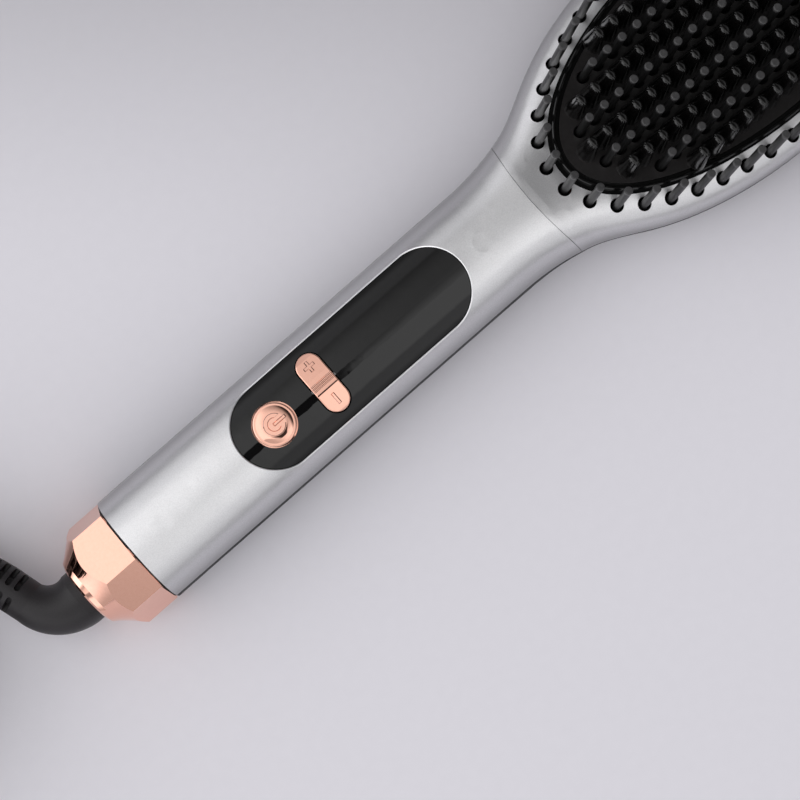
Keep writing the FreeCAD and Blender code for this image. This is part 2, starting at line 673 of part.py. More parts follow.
def make_panel():
    """Curved glossy panel with the keys' holes and the lugs of the rocker's pin."""
    gap = size("panel_gap")
    outline = stadium(
        panel_middle, 0, size("panel_length") - 2 * gap, size("panel_width") - 2 * gap, z_part, 2 * z_crest
    )
    under = grip_prism(panel_top + size("panel_wall"))
    panel = grip_prism(panel_top).cut(under).common(outline)
    pin_z = z_crest - size("pin_drop")
    half = size("lug_size") / 2
    near = size("rocker_width") / 2 + size("key_gap")
    for side in (-1, 1):
        middle = x_rocker + side * (near + size("lug_width") / 2 + 0.2)
        width = size("lug_width") / 2
        lug = box(middle - width, middle + width, half, pin_z - half, z_crest)
        panel = panel.fuse(lug.common(grip_prism(panel_top + size("panel_wall") / 2)))
    key_hole = upright(x_power, 0, z_part, 2 * z_crest, size("key_radius") + size("key_gap"))
    rocker_hole = stadium(
        x_rocker, 0, size("rocker_length") + 2 * size("key_gap"),
        size("rocker_width") + 2 * size("key_gap"), z_part, 2 * z_crest, False,
    )
    bore = Part.makeCylinder(size("pin_radius"), 30, Vector(x_rocker - 15, 0, pin_z), Vector(1, 0, 0))
    return pieces_of(panel.cut(key_hole).cut(rocker_hole).cut(bore))[0]


def make_power_key():
    """Turned key with a crowned shoulder, a raised power sign, a keeper flange and a stem."""
    radius = size("key_radius")
    edge = size("key_edge")
    flat = size("key_flat")
    shoulder = size("key_shoulder")
    crown = size("key_crown")
    top = z_crest - panel_top + size("key_rise")
    low = top - size("key_depth")

    def crowned(across):
        return top - crown + math.sqrt(crown ** 2 - (across - flat) ** 2)

    def place(across, height):
        return Vector(x_power + across, 0, height)

    level = crowned(shoulder)
    middle = (flat + shoulder) / 2
    half_edge = edge * (1 - math.sqrt(0.5))
    bend = place(radius - half_edge, level - half_edge)
    profile = [
        Part.makeLine(place(0, low), place(radius, low)),
        Part.makeLine(place(radius, low), place(radius, level - edge)),
        Part.Arc(place(radius, level - edge), bend, place(radius - edge, level)).toShape(),
        Part.makeLine(place(radius - edge, level), place(shoulder, level)),
        Part.Arc(place(shoulder, level), place(middle, crowned(middle)), place(flat, top)).toShape(),
        Part.makeLine(place(flat, top), place(0, top)),
        Part.makeLine(place(0, top), place(0, low)),
    ]
    cap = Part.Face(Part.Wire(profile)).revolve(Vector(x_power, 0, 0), Vector(0, 0, 1), 360)
    flange = upright(x_power, 0, low - size("key_flange_height"), low, radius + size("key_flange"))
    stem = upright(x_power, 0, plunger_top + size("key_travel") + 0.1, low, 1.7)
    foot = top - 0.4
    head = top + size("sign_rise")
    ring = upright(x_power, 0, foot, head, size("sign_radius"))
    ring = ring.cut(upright(x_power, 0, low, head + 1, size("sign_radius") - size("sign_width")))
    half = size("sign_opening") / 2
    opening = box(x_power, x_power + radius, half, low, head + 1)
    half = size("sign_stroke") / 2
    behind = x_power - size("sign_bar_behind")
    bar = box(behind, behind + size("sign_bar"), half, foot, head)
    signs = []
    for sign in (ring, bar):
        edges = [e for e in sign.Edges if e.BoundBox.ZMin > head - 1e-6]
        signs.append(sign.makeChamfer(size("sign_slope"), edges))
    return cap.multiFuse([flange, stem, signs[0].cut(opening), signs[1]])


def rocker_top(rise):
    """Everything under the rocker's top, which falls away to both sides of a level middle."""
    bend = size("rocker_flat") + size("rocker_bend")
    far = size("rocker_length")
    slope = math.tan(math.radians(size("rocker_slope")))
    bend_fall = slope / 2 * size("rocker_bend")
    end_fall = bend_fall + slope * (far - bend)
    half = [(size("rocker_flat"), 0.0), (bend, bend_fall), (far, end_fall), (far, far)]
    start = panel_ends[0]
    corners = [Vector(start, y, z_crest + rise - fall) for y, fall in half]
    corners += [Vector(start, -y, z_crest + rise - fall) for y, fall in reversed(half)]
    prism = Part.Face(Part.makePolygon(corners + corners[:1])).extrude(Vector(size("panel_length"), 0, 0))
    return prism.common(grip_prism(-size("rocker_rise") - rise))


def round_the_top(edge):
    """True for an edge between the rocker's top and its upright sides."""
    middle = edge.valueAt((edge.FirstParameter + edge.LastParameter) / 2)
    half = size("rocker_width") / 2
    beyond = max(0.0, abs(middle.y) - size("rocker_length") / 2 + half)
    on_side = abs(math.hypot(beyond, middle.x - x_rocker) - half) < 1e-3
    level = edge.BoundBox.ZMax - edge.BoundBox.ZMin < 1.0
    return on_side and level and middle.z > z_crest - size("rocker_depth") + 0.5


def make_rocker_key():
    """Rocking key: a plus end and a minus end over one pin, with three ribs between them."""
    low = z_crest - size("rocker_depth")
    outline = stadium(
        x_rocker, 0, size("rocker_length"), size("rocker_width"), low, 2 * z_crest, False,
    )
    key = outline.common(rocker_top(0.0))
    edges = [e for e in key.Edges if round_the_top(e)]
    key = key.makeFillet(size("rocker_edge"), edges)
    pin_z = z_crest - size("pin_drop")
    web = box(x_rocker - 2.6, x_rocker + 2.6, size("lug_size") / 2 - 0.2, pin_z - 1.5, low + 0.2)
    feet = []
    foot_low = plunger_top + math.radians(size("rocker_tilt")) * size("rocker_arm") + 0.15
    for side in (-1, 1):
        y = side * size("rocker_arm")
        feet.append(upright(x_rocker, y, foot_low, low + 0.2, size("rocker_foot_radius")))
    long = size("sign_length")
    broad = size("sign_stroke")
    signs = []
    for side, strokes in ((1, ((long, broad), (broad, long))), (-1, ((broad, long),))):
        for long_x, long_y in strokes:
            block = box(x_rocker - long_x / 2, x_rocker + long_x / 2, long_y / 2, low, 2 * z_crest)
            block.translate(Vector(0, side * size("sign_from_middle"), 0))
            sign = block.common(rocker_top(size("sign_rise")))
            edges = [e for e in sign.Edges if e.BoundBox.ZMin > low + 1.0]
            signs.append(sign.makeChamfer(size("sign_slope"), edges))
    ribs = []
    for step in (-1, 0, 1):
        reach = size("rocker_width") / 2 - 0.2
        rib = box(x_rocker - reach, x_rocker + reach, size("rib_width") / 2, low, z_crest + size("rib_rise"))
        rib.translate(Vector(0, step * size("rib_pitch"), 0))
        edges = [e for e in rib.Edges if e.BoundBox.ZMin > low + 1.0 and e.Length > reach]
        ribs.append(rib.makeChamfer(0.8 * size("rib_rise"), edges))
    bore_radius = size("pin_radius") + size("pin_clearance")
    bore = Part.makeCylinder(bore_radius, 30, Vector(x_rocker - 15, 0, pin_z), Vector(1, 0, 0))
    return pieces_of(key.multiFuse([web] + feet + signs + ribs).cut(bore))[0]


plunger_top = size("board_height") + size("board_wall") + size("switch_height") + size("plunger_rise")
feature("control_panel", make_panel())
feature("power_key", make_power_key())
feature("rocker_key", make_rocker_key())

rocker_pin = doc.addObject("Part::Cylinder", "rocker_pin")
bind(
    rocker_pin,
    Radius="Sizes.pin_radius - 0.02",
    Height="Sizes.rocker_width + 2 * (Sizes.key_gap + Sizes.lug_width + 0.2)",
    x="%s - Sizes.rocker_width / 2 - Sizes.key_gap - Sizes.lug_width - 0.2" % X_ROCKER,
    z="%s - Sizes.pin_drop" % Z_CREST,
)
rocker_pin.Placement.Rotation = Rotation(Vector(0, 1, 0), 90)
keep(rocker_pin, "rocker_pin")


# ---------------------------------------------------------------- small bodies from sketches
def plane_of(body, role):
    """One of a body's own origin planes."""
    for item in body.Origin.OriginFeatures:
        if item.Role == role:
            return item
    return None


def new_sketch(body, name):
    """Sketch on the body's own XY plane."""
    sketch = body.newObject("Sketcher::SketchObject", name)
    sketch.AttachmentSupport = [(plane_of(body, "XY_Plane"), "")]
    sketch.MapMode = "FlatFace"
    return sketch


def add_circle(sketch, radius, x="0", y="0"):
    """Circle whose radius and centre are bound to the sheet."""
    geometry = sketch.addGeometry(Part.Circle(Vector(1, 1, 0), Vector(0, 0, 1), 1), False)
    for kind, text in (("Radius", radius), ("DistanceX", x), ("DistanceY", y)):
        if kind == "Radius":
            number = sketch.addConstraint(Sketcher.Constraint(kind, geometry, 1.0))
        elif text == "0":
            axis = -2 if kind == "DistanceX" else -1
            sketch.addConstraint(Sketcher.Constraint("PointOnObject", geometry, 3, axis))
            continue
        else:
            number = sketch.addConstraint(Sketcher.Constraint(kind, -1, 1, geometry, 3, 1.0))
        sketch.setExpression("Constraints[%d]" % number, text)


def add_rectangle(sketch, length, width):
    """Rectangle round the origin whose sides are bound to the sheet."""
    corners = [Vector(-1, -1, 0), Vector(1, -1, 0), Vector(1, 1, 0), Vector(-1, 1, 0)]
    lines = [Part.LineSegment(corners[k], corners[(k + 1) % 4]) for k in range(4)]
    first = sketch.addGeometry(lines, False)[0]
    for k in range(4):
        after = first + (k + 1) % 4
        sketch.addConstraint(Sketcher.Constraint("Coincident", first + k, 2, after, 1))
        kind = "Horizontal" if k % 2 == 0 else "Vertical"
        sketch.addConstraint(Sketcher.Constraint(kind, first + k))
    sketch.addConstraint(Sketcher.Constraint("Symmetric", first, 1, first + 1, 2, -1, 1))
    wide = sketch.addConstraint(Sketcher.Constraint("DistanceX", first, 1, first, 2, 2.0))
    deep = sketch.addConstraint(Sketcher.Constraint("DistanceY", first + 1, 1, first + 1, 2, 2.0))
    sketch.setExpression("Constraints[%d]" % wide, length)
    sketch.setExpression("Constraints[%d]" % deep, width)


def add_pad(body, sketch, length, name):
    """Pad of a sketch."""
    pad = body.newObject("PartDesign::Pad", name)
    pad.Profile = sketch
    pad.setExpression("Length", length)
    return pad


def tube_body(label, outer, inner, length, x, z, along_x=True):
    """Turned ring or bush: two circles, padded."""
    body = doc.addObject("PartDesign::Body", label)
    sketch = new_sketch(body, label + "_rings")
    add_circle(sketch, outer)
    if inner:
        add_circle(sketch, inner)
    add_pad(body, sketch, length, label + "_pad")
    if along_x:
        body.Placement.Rotation = Rotation(Vector(0, 1, 0), 90)
    bind(body, x=x, z=z)
    return keep(body, label)


def block_body(label, length, width, height, x, z, rounded=""):
    """Rectangular block: one padded rectangle, its upright edges rounded if asked."""
    body = doc.addObject("PartDesign::Body", label)
    sketch = new_sketch(body, label + "_outline")
    add_rectangle(sketch, length, width)
    pad = add_pad(body, sketch, height, label + "_pad")
    bind(body, x=x, z=z)
    if rounded:
        doc.recompute()
        fillet = body.newObject("PartDesign::Fillet", label + "_round")
        upright_edges = []
        for number, edge in enumerate(pad.Shape.Edges, start=1):
            if abs(edge.tangentAt(edge.FirstParameter).z) > 0.99:
                upright_edges.append("Edge%d" % number)
        fillet.Base = (pad, upright_edges)
        fillet.setExpression("Radius", rounded)
        body.Tip = fillet
    return keep(body, label)


# ---------------------------------------------------------------- electronics in the grip
control_board = block_body(
    "control_board", "Sizes.board_length", "Sizes.board_width", "Sizes.board_wall",
    "%s - Sizes.board_before_power + Sizes.board_length / 2" % X_POWER, "Sizes.board_height", "1 mm",
)
mains_board = block_body(
    "mains_board", "Sizes.mains_board_length", "Sizes.mains_board_width", "Sizes.board_wall",
    "%s + Sizes.mains_board_from_seam + Sizes.mains_board_length / 2" % X_SEAM,
    "Sizes.mains_board_height", "1 mm",
)
Z_MAINS_TOP = "Sizes.mains_board_height + Sizes.board_wall"
block_body(
    "relay", "Sizes.relay_length", "Sizes.relay_width", "Sizes.relay_height",
    "%s + Sizes.mains_board_from_seam + Sizes.relay_length / 2 + 2" % X_SEAM, Z_MAINS_TOP, "0.5 mm",
)
capacitor_at = "%s + Sizes.mains_board_from_seam + Sizes.mains_board_length" % X_SEAM
tube_body(
    "capacitor", "Sizes.capacitor_radius", "", "Sizes.capacitor_height",
    capacitor_at + " - Sizes.capacitor_radius - 2", Z_MAINS_TOP, False,
)
block_body(
    "display_module", "Sizes.display_length", "Sizes.display_width", "Sizes.display_height",
    "%s + Sizes.display_from_power + Sizes.display_length / 2" % X_POWER, Z_BOARD_TOP, "0.5 mm",
)


def tact_switch(name, x, y):
    """Tact switch: a square body with a round plunger."""
    body = doc.addObject("Part::Box", name + "_body")
    half = "Sizes.switch_size / 2"
    bind(
        body, Length="Sizes.switch_size", Width="Sizes.switch_size", Height="Sizes.switch_height",
        x="%s - %s" % (x, half), y="%s - %s" % (y, half), z=Z_BOARD_TOP,
    )
    plunger = doc.addObject("Part::Cylinder", name + "_plunger")
    bind(
        plunger, Radius="Sizes.plunger_radius", Height="Sizes.switch_height + Sizes.plunger_rise",
        x=x, y=y, z=Z_BOARD_TOP,
    )
    switch = doc.addObject("Part::MultiFuse", name)
    switch.Shapes = [body, plunger]
    return switch


switches = doc.addObject("Part::Compound", "tact_switches")
switches.Links = [
    tact_switch("power_switch", X_POWER, "0"),
    tact_switch("plus_switch", X_ROCKER, "Sizes.rocker_arm"),
    tact_switch("minus_switch", X_ROCKER, "-Sizes.rocker_arm"),
]
keep(switches, "tact_switches")


def make_shell_screws():
    """Screws that draw the back shell to the front shells."""
    low = screw_seat - size("screw_head_height")
    screws = []
    for x, y in shell_screws:
        head = upright(x, y, low, screw_seat, size("screw_head_radius"))
        cross = Part.makeBox(2.4, 0.5, 0.7, Vector(x - 1.2, y - 0.25, low))
        other = Part.makeBox(0.5, 2.4, 0.7, Vector(x - 0.25, y - 1.2, low))
        shank_radius = size("screw_radius") - 0.02
        shank = upright(x, y, low, screw_seat + size("screw_length"), shank_radius)
        screws.append(head.fuse(shank).cut(cross).cut(other))
    return Part.makeCompound(screws)


feature("shell_screws", make_shell_screws())


# ---------------------------------------------------------------- plate, rim and bristles
def make_plate_rim():
    """Oval rim with a ridge between two grooves, and with the ledge that the plate lies on."""
    low = -size("rim_depth")
    floor = -size("rim_groove")
    high = size("rim_rise")
    band = size("ridge_band")
    ridge_long = rim_long - size("ridge_end_inset")
    ridge_short = rim_short - size("ridge_side_inset")
    ridge = oval(ridge_long, ridge_short, floor - 0.5, high)
    ridge = ridge.cut(oval(ridge_long - band, ridge_short - band, floor - 1, high + 1))
    top_edges = [e for e in ridge.Edges if e.BoundBox.ZMin > high - 1e-6]
    ridge = ridge.makeFillet(0.35 * band, top_edges)
    rim = oval(rim_long, rim_short, low, floor).fuse(ridge)
    gap = size("plate_gap")
    well = oval(plate_long + gap, plate_short + gap, plate_under, high + 1)
    inner = size("rim_ledge") - gap
    hole = oval(plate_long - inner, plate_short - inner, low - 1, high + 1)
    return on_face(rim.cut(well).cut(hole))


def make_tooth():
    """Wedge-shaped tooth with an oval foot and a rounded ridge across the head."""
    low = -0.6
    high = size("tooth_height") - size("tooth_dome")
    ahead = size("tooth_lean")
    foot = Part.Ellipse(Vector(0, 0, low), size("tooth_width") / 2, size("tooth_length") / 2).toShape()
    half_width = size("tooth_tip_width") / 2
    half_length = size("tooth_tip_length") / 2
    neck = Part.Ellipse(Vector(0, 0, high), half_width, half_length).toShape()
    tooth = [foot, neck]
    for edge in tooth:
        edge.rotate(Vector(0, 0, 0), Vector(0, 0, 1), 90)
    neck.translate(Vector(ahead, 0, 0))
    wedge = Part.makeLoft([Part.Wire(edge) for edge in tooth], True, True)
    stretch = FreeCAD.Matrix()
    stretch.scale(half_length, half_width, size("tooth_dome"))
    dome = Part.makeSphere(1.0, Vector(0, 0, 0), Vector(0, 0, 1), 0, 90).transformGeometry(stretch)
    dome.translate(Vector(ahead, 0, high))
    return wedge.fuse(dome)


def make_heater_plate():
    """Cast plate with its heated teeth, pierced for the small bristles."""
    plate = oval(plate_long, plate_short, plate_under, 0.0)
    holes = [
        Part.makeCylinder(size("bristle_hole_radius"), size("plate_wall") + 2, Vector(x, y, plate_under - 1))
        for x, y in bristle_places
    ]
    plate = plate.cut(Part.makeCompound(holes))
    pilots = [
        Part.makeCylinder(clamp_screw_radius, 1.6, Vector(x, 0, plate_under))
        for x in clamp_screw_places
    ]
    plate = plate.cut(Part.makeCompound(pilots))
    tooth = make_tooth()
    teeth = [tooth.translated(Vector(x, y, 0)) for x, y in tooth_places]
    round_rim = oval(rim_long + 5, rim_short + 5, -2.0, size("rim_rise") + 2 * size("plate_gap"))
    round_rim = round_rim.cut(oval(plate_long, plate_short, -3.0, size("rim_rise") + 1))
    return on_face(plate.multiFuse(teeth).cut(round_rim))


def make_bristle_pad():
    """Flexible pad under the plate that the small bristles stand on."""
    inset = size("rim_ledge") + size("pad_gap")
    top = plate_under - size("fit_gap")
    pad = oval(plate_long - inset, plate_short - inset, top - size("pad_wall"), top)
    reach = size("heater_spacing") + size("heater_length") + 2 * clamp_screw_radius + 9
    window = Part.makeBox(reach, size("heater_width") + 0.4, 20)
    window.translate(Vector(-reach / 2, -size("heater_width") / 2 - 0.2, -10))
    return on_face(pad.cut(window))


def make_nylon_bristles():
    """Small bristles between the teeth."""
    root = plate_under - size("fit_gap")
    middle = plate_under / 2
    return standing([bristle(x, y, root, middle) for x, y in bristle_places], root)


def make_rim_carrier():
    """Oval strip under the head's shell that the rim bristles stand on."""
    half = size("carrier_band") / 2 - 0.4
    top = -size("carrier_drop")
    low = top - size("carrier_wall")
    strip = oval(size("ring_long") + half, size("ring_short") + half, low, top)
    strip = strip.cut(oval(size("ring_long") - half, size("ring_short") - half, low - 1, top + 1))
    strip.translate(Vector(size("ring_ahead"), 0, 0))
    return on_face(strip)


def make_rim_bristles():
    """Ring of bristles that stand through the head's shell round the plate."""
    root = -size("carrier_drop")
    pivot = -size("shell_wall")
    return standing([bristle(x, y, root, pivot) for x, y in ring_places], root)


clamp_screw_radius = 1.0
clamp_screw_end = size("heater_spacing") / 2 + size("heater_length") / 2 + 3.0
clamp_screw_places = (-clamp_screw_end, 0.0, clamp_screw_end)
feature("plate_rim", make_plate_rim())
feature("heater_plate", make_heater_plate())
feature("bristle_pad", make_bristle_pad())
feature("nylon_bristles", make_nylon_bristles())
feature("rim_bristle_carrier", make_rim_carrier())
feature("rim_bristles", make_rim_bristles())

# ---------------------------------------------------------------- heater, steam and water
heater_under = plate_under - size("heater_wall")
clamp_under = heater_under - size("clamp_wall")


def make_heaters():
    """Two ceramic heaters pressed flat on the plate's underside."""
    length = size("heater_length")
    width = size("heater_width")
    heaters = []
    for side in (-1, 1):
        x = side * size("heater_spacing") / 2 - length / 2
        corner = Vector(x, -width / 2, heater_under)
        heaters.append(Part.makeBox(length, width, size("heater_wall"), corner))
    return on_face(Part.makeCompound(heaters))


def make_clamp():
    """Sheet clamp that holds the heaters to the plate."""
    reach = clamp_screw_end + 3.5
    sheet_metal = stadium(0, 0, 2 * reach, size("clamp_width"), clamp_under, heater_under)
    holes = [
        Part.makeCylinder(clamp_screw_radius + 0.1, 6, Vector(x, 0, clamp_under - 2))
        for x in clamp_screw_places
    ]
    return on_face(sheet_metal.cut(Part.makeCompound(holes)))


def make_clamp_screws():
    """Screws of the heater clamp, up into the plate."""
    screws = []
    for x in clamp_screw_places:
        head = Part.makeCylinder(1.9, 1.2, Vector(x, 0, clamp_under - 1.2))
        length = plate_under + 1.4 - clamp_under + 1.2
        shank = Part.makeCylinder(clamp_screw_radius - 0.02, length, Vector(x, 0, clamp_under - 1.2))
        screws.append(head.fuse(shank))
    return on_face(Part.makeCompound(screws))


def lying_round(radius, length, x, y, z):
    """Round piece that lies along the brush under the clamp."""
    return on_face(Part.makeCylinder(radius, length, Vector(x, y, z), Vector(1, 0, 0)))


feature("ceramic_heaters", make_heaters())
feature("heater_clamp", make_clamp())
feature("clamp_screws", make_clamp_screws())
fuse_x = -size("heater_spacing") / 2 - size("fuse_length") / 2
feature("thermal_fuse", lying_round(
    size("fuse_radius"), size("fuse_length"), fuse_x, 3.2, clamp_under - size("fuse_radius") - 0.05
))
feature("temperature_sensor", lying_round(
    size("sensor_radius"), size("sensor_length"), fuse_x, -3.2, clamp_under - size("sensor_radius") - 0.05
))

chamber_length = 24.0
chamber_start = clamp_screw_end - 33.0
chamber_height = 3.0


def make_steam_chamber():
    """Small evaporator block under the clamp with an inlet below and two steam slots."""
    corner = Vector(chamber_start, -6.0, clamp_under - chamber_height)
    block = Part.makeBox(chamber_length, 12.0, chamber_height, corner)
    inner = corner + Vector(1.0, 1.0, 0.8)
    block = block.cut(Part.makeBox(chamber_length - 2, 10.0, chamber_height - 1.6, inner))
    inlet_at = Vector(chamber_start + chamber_length / 2, 0, clamp_under - chamber_height - 1)
    block = block.cut(Part.makeCylinder(size("tube_radius") + 0.05, 2, inlet_at))
    for side in (-1, 1):
        slot = Part.makeBox(chamber_length - 8, 1.5, 1.2)
        slot.translate(Vector(chamber_start + 4, side * 6.0 - 0.75, clamp_under - 2.2))
        block = block.cut(slot)
    return on_face(block)


def make_water_tank():
    """Flat water tank on the floor of the head, with the hole of its filling plug."""
    low = tank_under
    high = low + size("tank_height")
    half = size("tank_width") / 2
    wall = size("tank_wall")
    tank = box(tank_start, tank_start + size("tank_length"), half, low, high)
    tank = tank.makeFillet(4.0, [e for e in tank.Edges if e.BoundBox.ZLength > high - low - 1e-6])
    tank_end = tank_start + size("tank_length")
    inner = box(tank_start + wall, tank_end - wall, half - wall, low + wall, high - wall)
    tank = tank.cut(inner)
    x, y = plug_place
    tank = tank.cut(upright(x, y, low - 1, low + wall + 0.5, size("plug_radius")))
    x, y = tube_place
    return tank.cut(upright(x, y, high - wall - 0.5, high + 1, size("tube_radius") + 0.05))


def make_filling_plug():
    """Soft plug that closes the tank from the back of the head."""
    x, y = plug_place
    lip = upright(x, y, 0.15, plug_seat - 0.02, size("plug_radius") + size("plug_lip") - 0.1)
    stem = upright(x, y, 0.15, tank_under + size("tank_wall") + 0.2, size("plug_radius") - 0.05)
    notch = Part.makeBox(3.0, 1.0, 0.4, Vector(x - 1.5, y - 0.5, 0.15))
    return lip.fuse(stem).cut(notch)


chamber_low = Vector(chamber_start + chamber_length / 2, 0, clamp_under - chamber_height)
chamber_middle = face_frame.multVec(chamber_low)
tube_place = (chamber_middle.x, 0.0)
tank_top = tank_under + size("tank_height")
feature("steam_chamber", make_steam_chamber())
feature("water_tank", make_water_tank())
feature("filling_plug", make_filling_plug())
feature("water_tube", upright(
    tube_place[0], 0.0, tank_top - size("tank_wall") + 0.1, chamber_middle.z + 0.3, size("tube_radius")
).cut(upright(tube_place[0], 0.0, 0, z_crest, size("tube_radius") - 0.4)))


# ---------------------------------------------------------------- tail frame, collar and swivel
def round_wire(x, z_middle, half_y, above, below, power):
    """Closed rounded section with its own heights above and below its widest line."""
    points = []
    steps = 4 * SECTION_STEPS
    for step in range(steps):
        angle = 2 * math.pi * step / steps
        across = math.copysign(abs(math.cos(angle)) ** (2 / power), math.cos(angle))
        up = abs(math.sin(angle)) ** (2 / power) * (above if angle < math.pi else -below)
        points.append(Vector(x, half_y * across, z_middle + up))
    curve = Part.BSplineCurve()
    curve.interpolate(points, PeriodicFlag=True)
    return Part.Wire(curve.toShape())


def turned(x0, x1, radius):
    """Round piece along the brush's axis line."""
    return Part.makeCylinder(radius, x1 - x0, Vector(x0, 0, z_axis), Vector(1, 0, 0))


x_flange = x_seam - size("gap_ring")
x_bush = x_flange - size("bush_length")
x_clip = x_flange + 0.1


def make_tail_frame():
    """Dark frame between the shells and the collar, with a spigot into each."""
    flange_wire = section_wire(x_flange, size("gap_ring_inset"))
    flange = Part.Face(flange_wire).extrude(Vector(size("gap_ring"), 0, 0))
    fit = size("shell_wall") + size("fit_gap")
    spigot = Part.Face(section_wire(x_seam, fit)).extrude(Vector(size("spigot_length"), 0, 0))
    hollow_wire = section_wire(x_seam, fit + size("spigot_wall"))
    hollow_part = Part.Face(hollow_wire).extrude(Vector(size("spigot_length") + 1, 0, 0))
    socket = turned(x_bush, x_flange, size("collar_hollow") - size("fit_gap"))
    frame = flange.multiFuse([spigot.cut(hollow_part), socket]).cut(rest_cutter)
    return frame.cut(turned(x_bush - 1, x_seam + 1, size("bush_radius") + 0.05))


def make_end_collar():
    """Faceted metal collar that closes in a cone towards the cord."""
    half = size("grip_width") / 2
    rise = size("facet_rise")
    power = size("grip_power")

    def corner(y, up):
        height = z_crest - z_widest if up > 0 else z_widest
        z = height * (1 - (abs(y) / half) ** power) ** (1 / power)
        return Vector(x_flange, y, z_widest + up * z + (rise if up > 0 else 0.0))

    outer = size("facet_outer")
    inner = size("facet_inner")
    corners = [corner(outer, 1), corner(-inner, 1), corner(-outer, 1), Vector(x_flange, -half, z_widest)]
    corners += [corner(-outer, -1), corner(inner, -1), corner(outer, -1), Vector(x_flange, half, z_widest)]
    prism = Part.Face(Part.makePolygon(corners + corners[:1])).extrude(Vector(x_mouth - x_flange, 0, 0))
    seam_edges = [e for e in prism.Edges if e.BoundBox.XMin > x_flange - 1e-6]
    prism = prism.makeChamfer(size("collar_edge"), seam_edges)
    x_cone = x_seam - size("collar_prism")
    x_round = x_cone - size("collar_cone")
    edge = size("collar_mouth_edge")
    spare = 0.05
    above = z_crest - z_widest + rise + spare
    wires = [round_wire(x_cone, z_widest, half + spare, above, z_widest + spare, power)]
    ends = [
        (x_round, size("collar_cone_end"), 2.15),
        (x_round - size("collar_round"), size("collar_round_end"), 2.05),
        (x_mouth, edge, 2.0),
    ]
    for x, half_y, end_power in ends:
        half_z = edge + 0.4 * (half_y - edge)
        wires.append(round_wire(x, z_axis, half_y, half_z, half_z, end_power))
    cone = Part.makeLoft(wires, True, True)
    sleeve = box(x_cone, x_seam, 2 * half, -z_crest, 2 * z_crest)
    collar = prism.common(cone.fuse(sleeve))
    hollow_end = x_mouth + size("collar_lip")
    collar = collar.cut(turned(hollow_end, x_seam, size("collar_hollow")))
    return pieces_of(collar.cut(turned(x_mouth - 1, x_seam, size("collar_bore"))))[0]


def make_swivel_elbow():
    """Rubber elbow on a stem: bend, arm and tapered relief with flex slots."""
    start = Vector(x_mouth - size("elbow_stub"), 0, z_axis)
    turn = math.radians(size("elbow_turn"))
    bend_radius = size("elbow_bend")

    def round_bend(angle):
        return start + Vector(-math.sin(angle), 1 - math.cos(angle), 0) * bend_radius

    middle = round_bend(turn)
    along = Vector(-math.cos(turn), math.sin(turn), 0)
    path = Part.Wire(Part.Arc(start, round_bend(turn / 2), middle).toShape())
    wide = Part.Wire(Part.Circle(start, Vector(-1, 0, 0), size("elbow_radius")).toShape())
    narrow = Part.Wire(Part.Circle(middle, along, size("elbow_waist")).toShape())
    bend = path.makePipeShell([wide, narrow], True, True)
    arm = Part.makeCone(size("elbow_waist"), size("arm_radius"), size("arm_length"), middle, along)
    thick = middle + along * size("arm_length")
    taper = Part.makeCone(size("arm_radius"), size("relief_radius"), size("relief_length"), thick, along)
    shoulder = turned(start.x, x_mouth + size("elbow_inside"), size("elbow_radius"))
    stem = turned(x_mouth, x_flange + size("stem_beyond"), size("stem_radius") - size("stem_clearance"))
    elbow = shoulder.multiFuse([bend, arm, taper, stem])
    across = Vector(along.y, -along.x, 0)
    half_spine = size("slot_spine") / 2
    standing_spine = Part.makeBox(60, size("slot_spine"), 40, Vector(0, -half_spine, -20))
    lying_spine = Part.makeBox(60, 40, size("slot_spine"), Vector(0, -20, -half_spine))
    spines = standing_spine.fuse(lying_spine)
    spines.Placement = Placement(middle, Rotation(along, across, Vector(0, 0, 1), "XZY"))
    slots = []
    for k in range(int(size("slot_count"))):
        at = middle + along * (size("slot_from_bend") + k * size("slot_pitch"))
        ring = Part.makeCylinder(12, size("slot_width"), at, along)
        ring = ring.cut(Part.makeCylinder(size("slot_floor"), size("slot_width"), at, along))
        pieces = ring.cut(spines)
        corners = []
        for edge in pieces.Edges:
            straight = edge.Curve.TypeId == "Part::GeomLine"
            if straight and abs(edge.tangentAt(edge.FirstParameter).dot(along)) < 0.1:
                corners.append(edge)
        slots.append(pieces.makeFillet(0.45 * size("slot_width"), corners))
    elbow = elbow.cut(Part.makeCompound(slots))
    groove = turned(x_clip - 0.05, x_clip + size("clip_wall") + 0.05, size("stem_radius") + 1)
    elbow = elbow.cut(groove.cut(turned(x_clip - 1, x_clip + 3, size("clip_groove"))))
    bore = turned(x_mouth - 1, x_seam + 4, size("stem_bore"))
    exit_at = thick + along * size("relief_length")
    return pieces_of(elbow.cut(bore))[0], exit_at, along


feature("tail_frame", make_tail_frame())
feature("end_collar", make_end_collar())
tube_body(
    "swivel_bush", "Sizes.bush_radius", "Sizes.stem_radius", "Sizes.bush_length",
    "%s - Sizes.gap_ring - Sizes.bush_length" % X_SEAM, Z_AXIS,
)
swivel_elbow, cord_exit, cord_heading = make_swivel_elbow()
feature("swivel_elbow", swivel_elbow)
tube_body(
    "swivel_clip", "Sizes.clip_radius", "Sizes.clip_groove + 0.03", "Sizes.clip_wall",
    "%s - Sizes.gap_ring + 0.1" % X_SEAM, Z_AXIS,
)


# ---------------------------------------------------------------- leads inside the body
def lead(points, radius):
    """Insulated lead along straight runs with ball joints at the corners."""
    solids = []
    for start, end in zip(points, points[1:]):
        solids.append(Part.makeCylinder(radius, (end - start).Length, start, end - start))
    for point in points[1:-1]:
        solids.append(Part.makeSphere(radius, point))
    whole = solids[0]
    return whole.multiFuse(solids[1:]) if len(solids) > 1 else whole


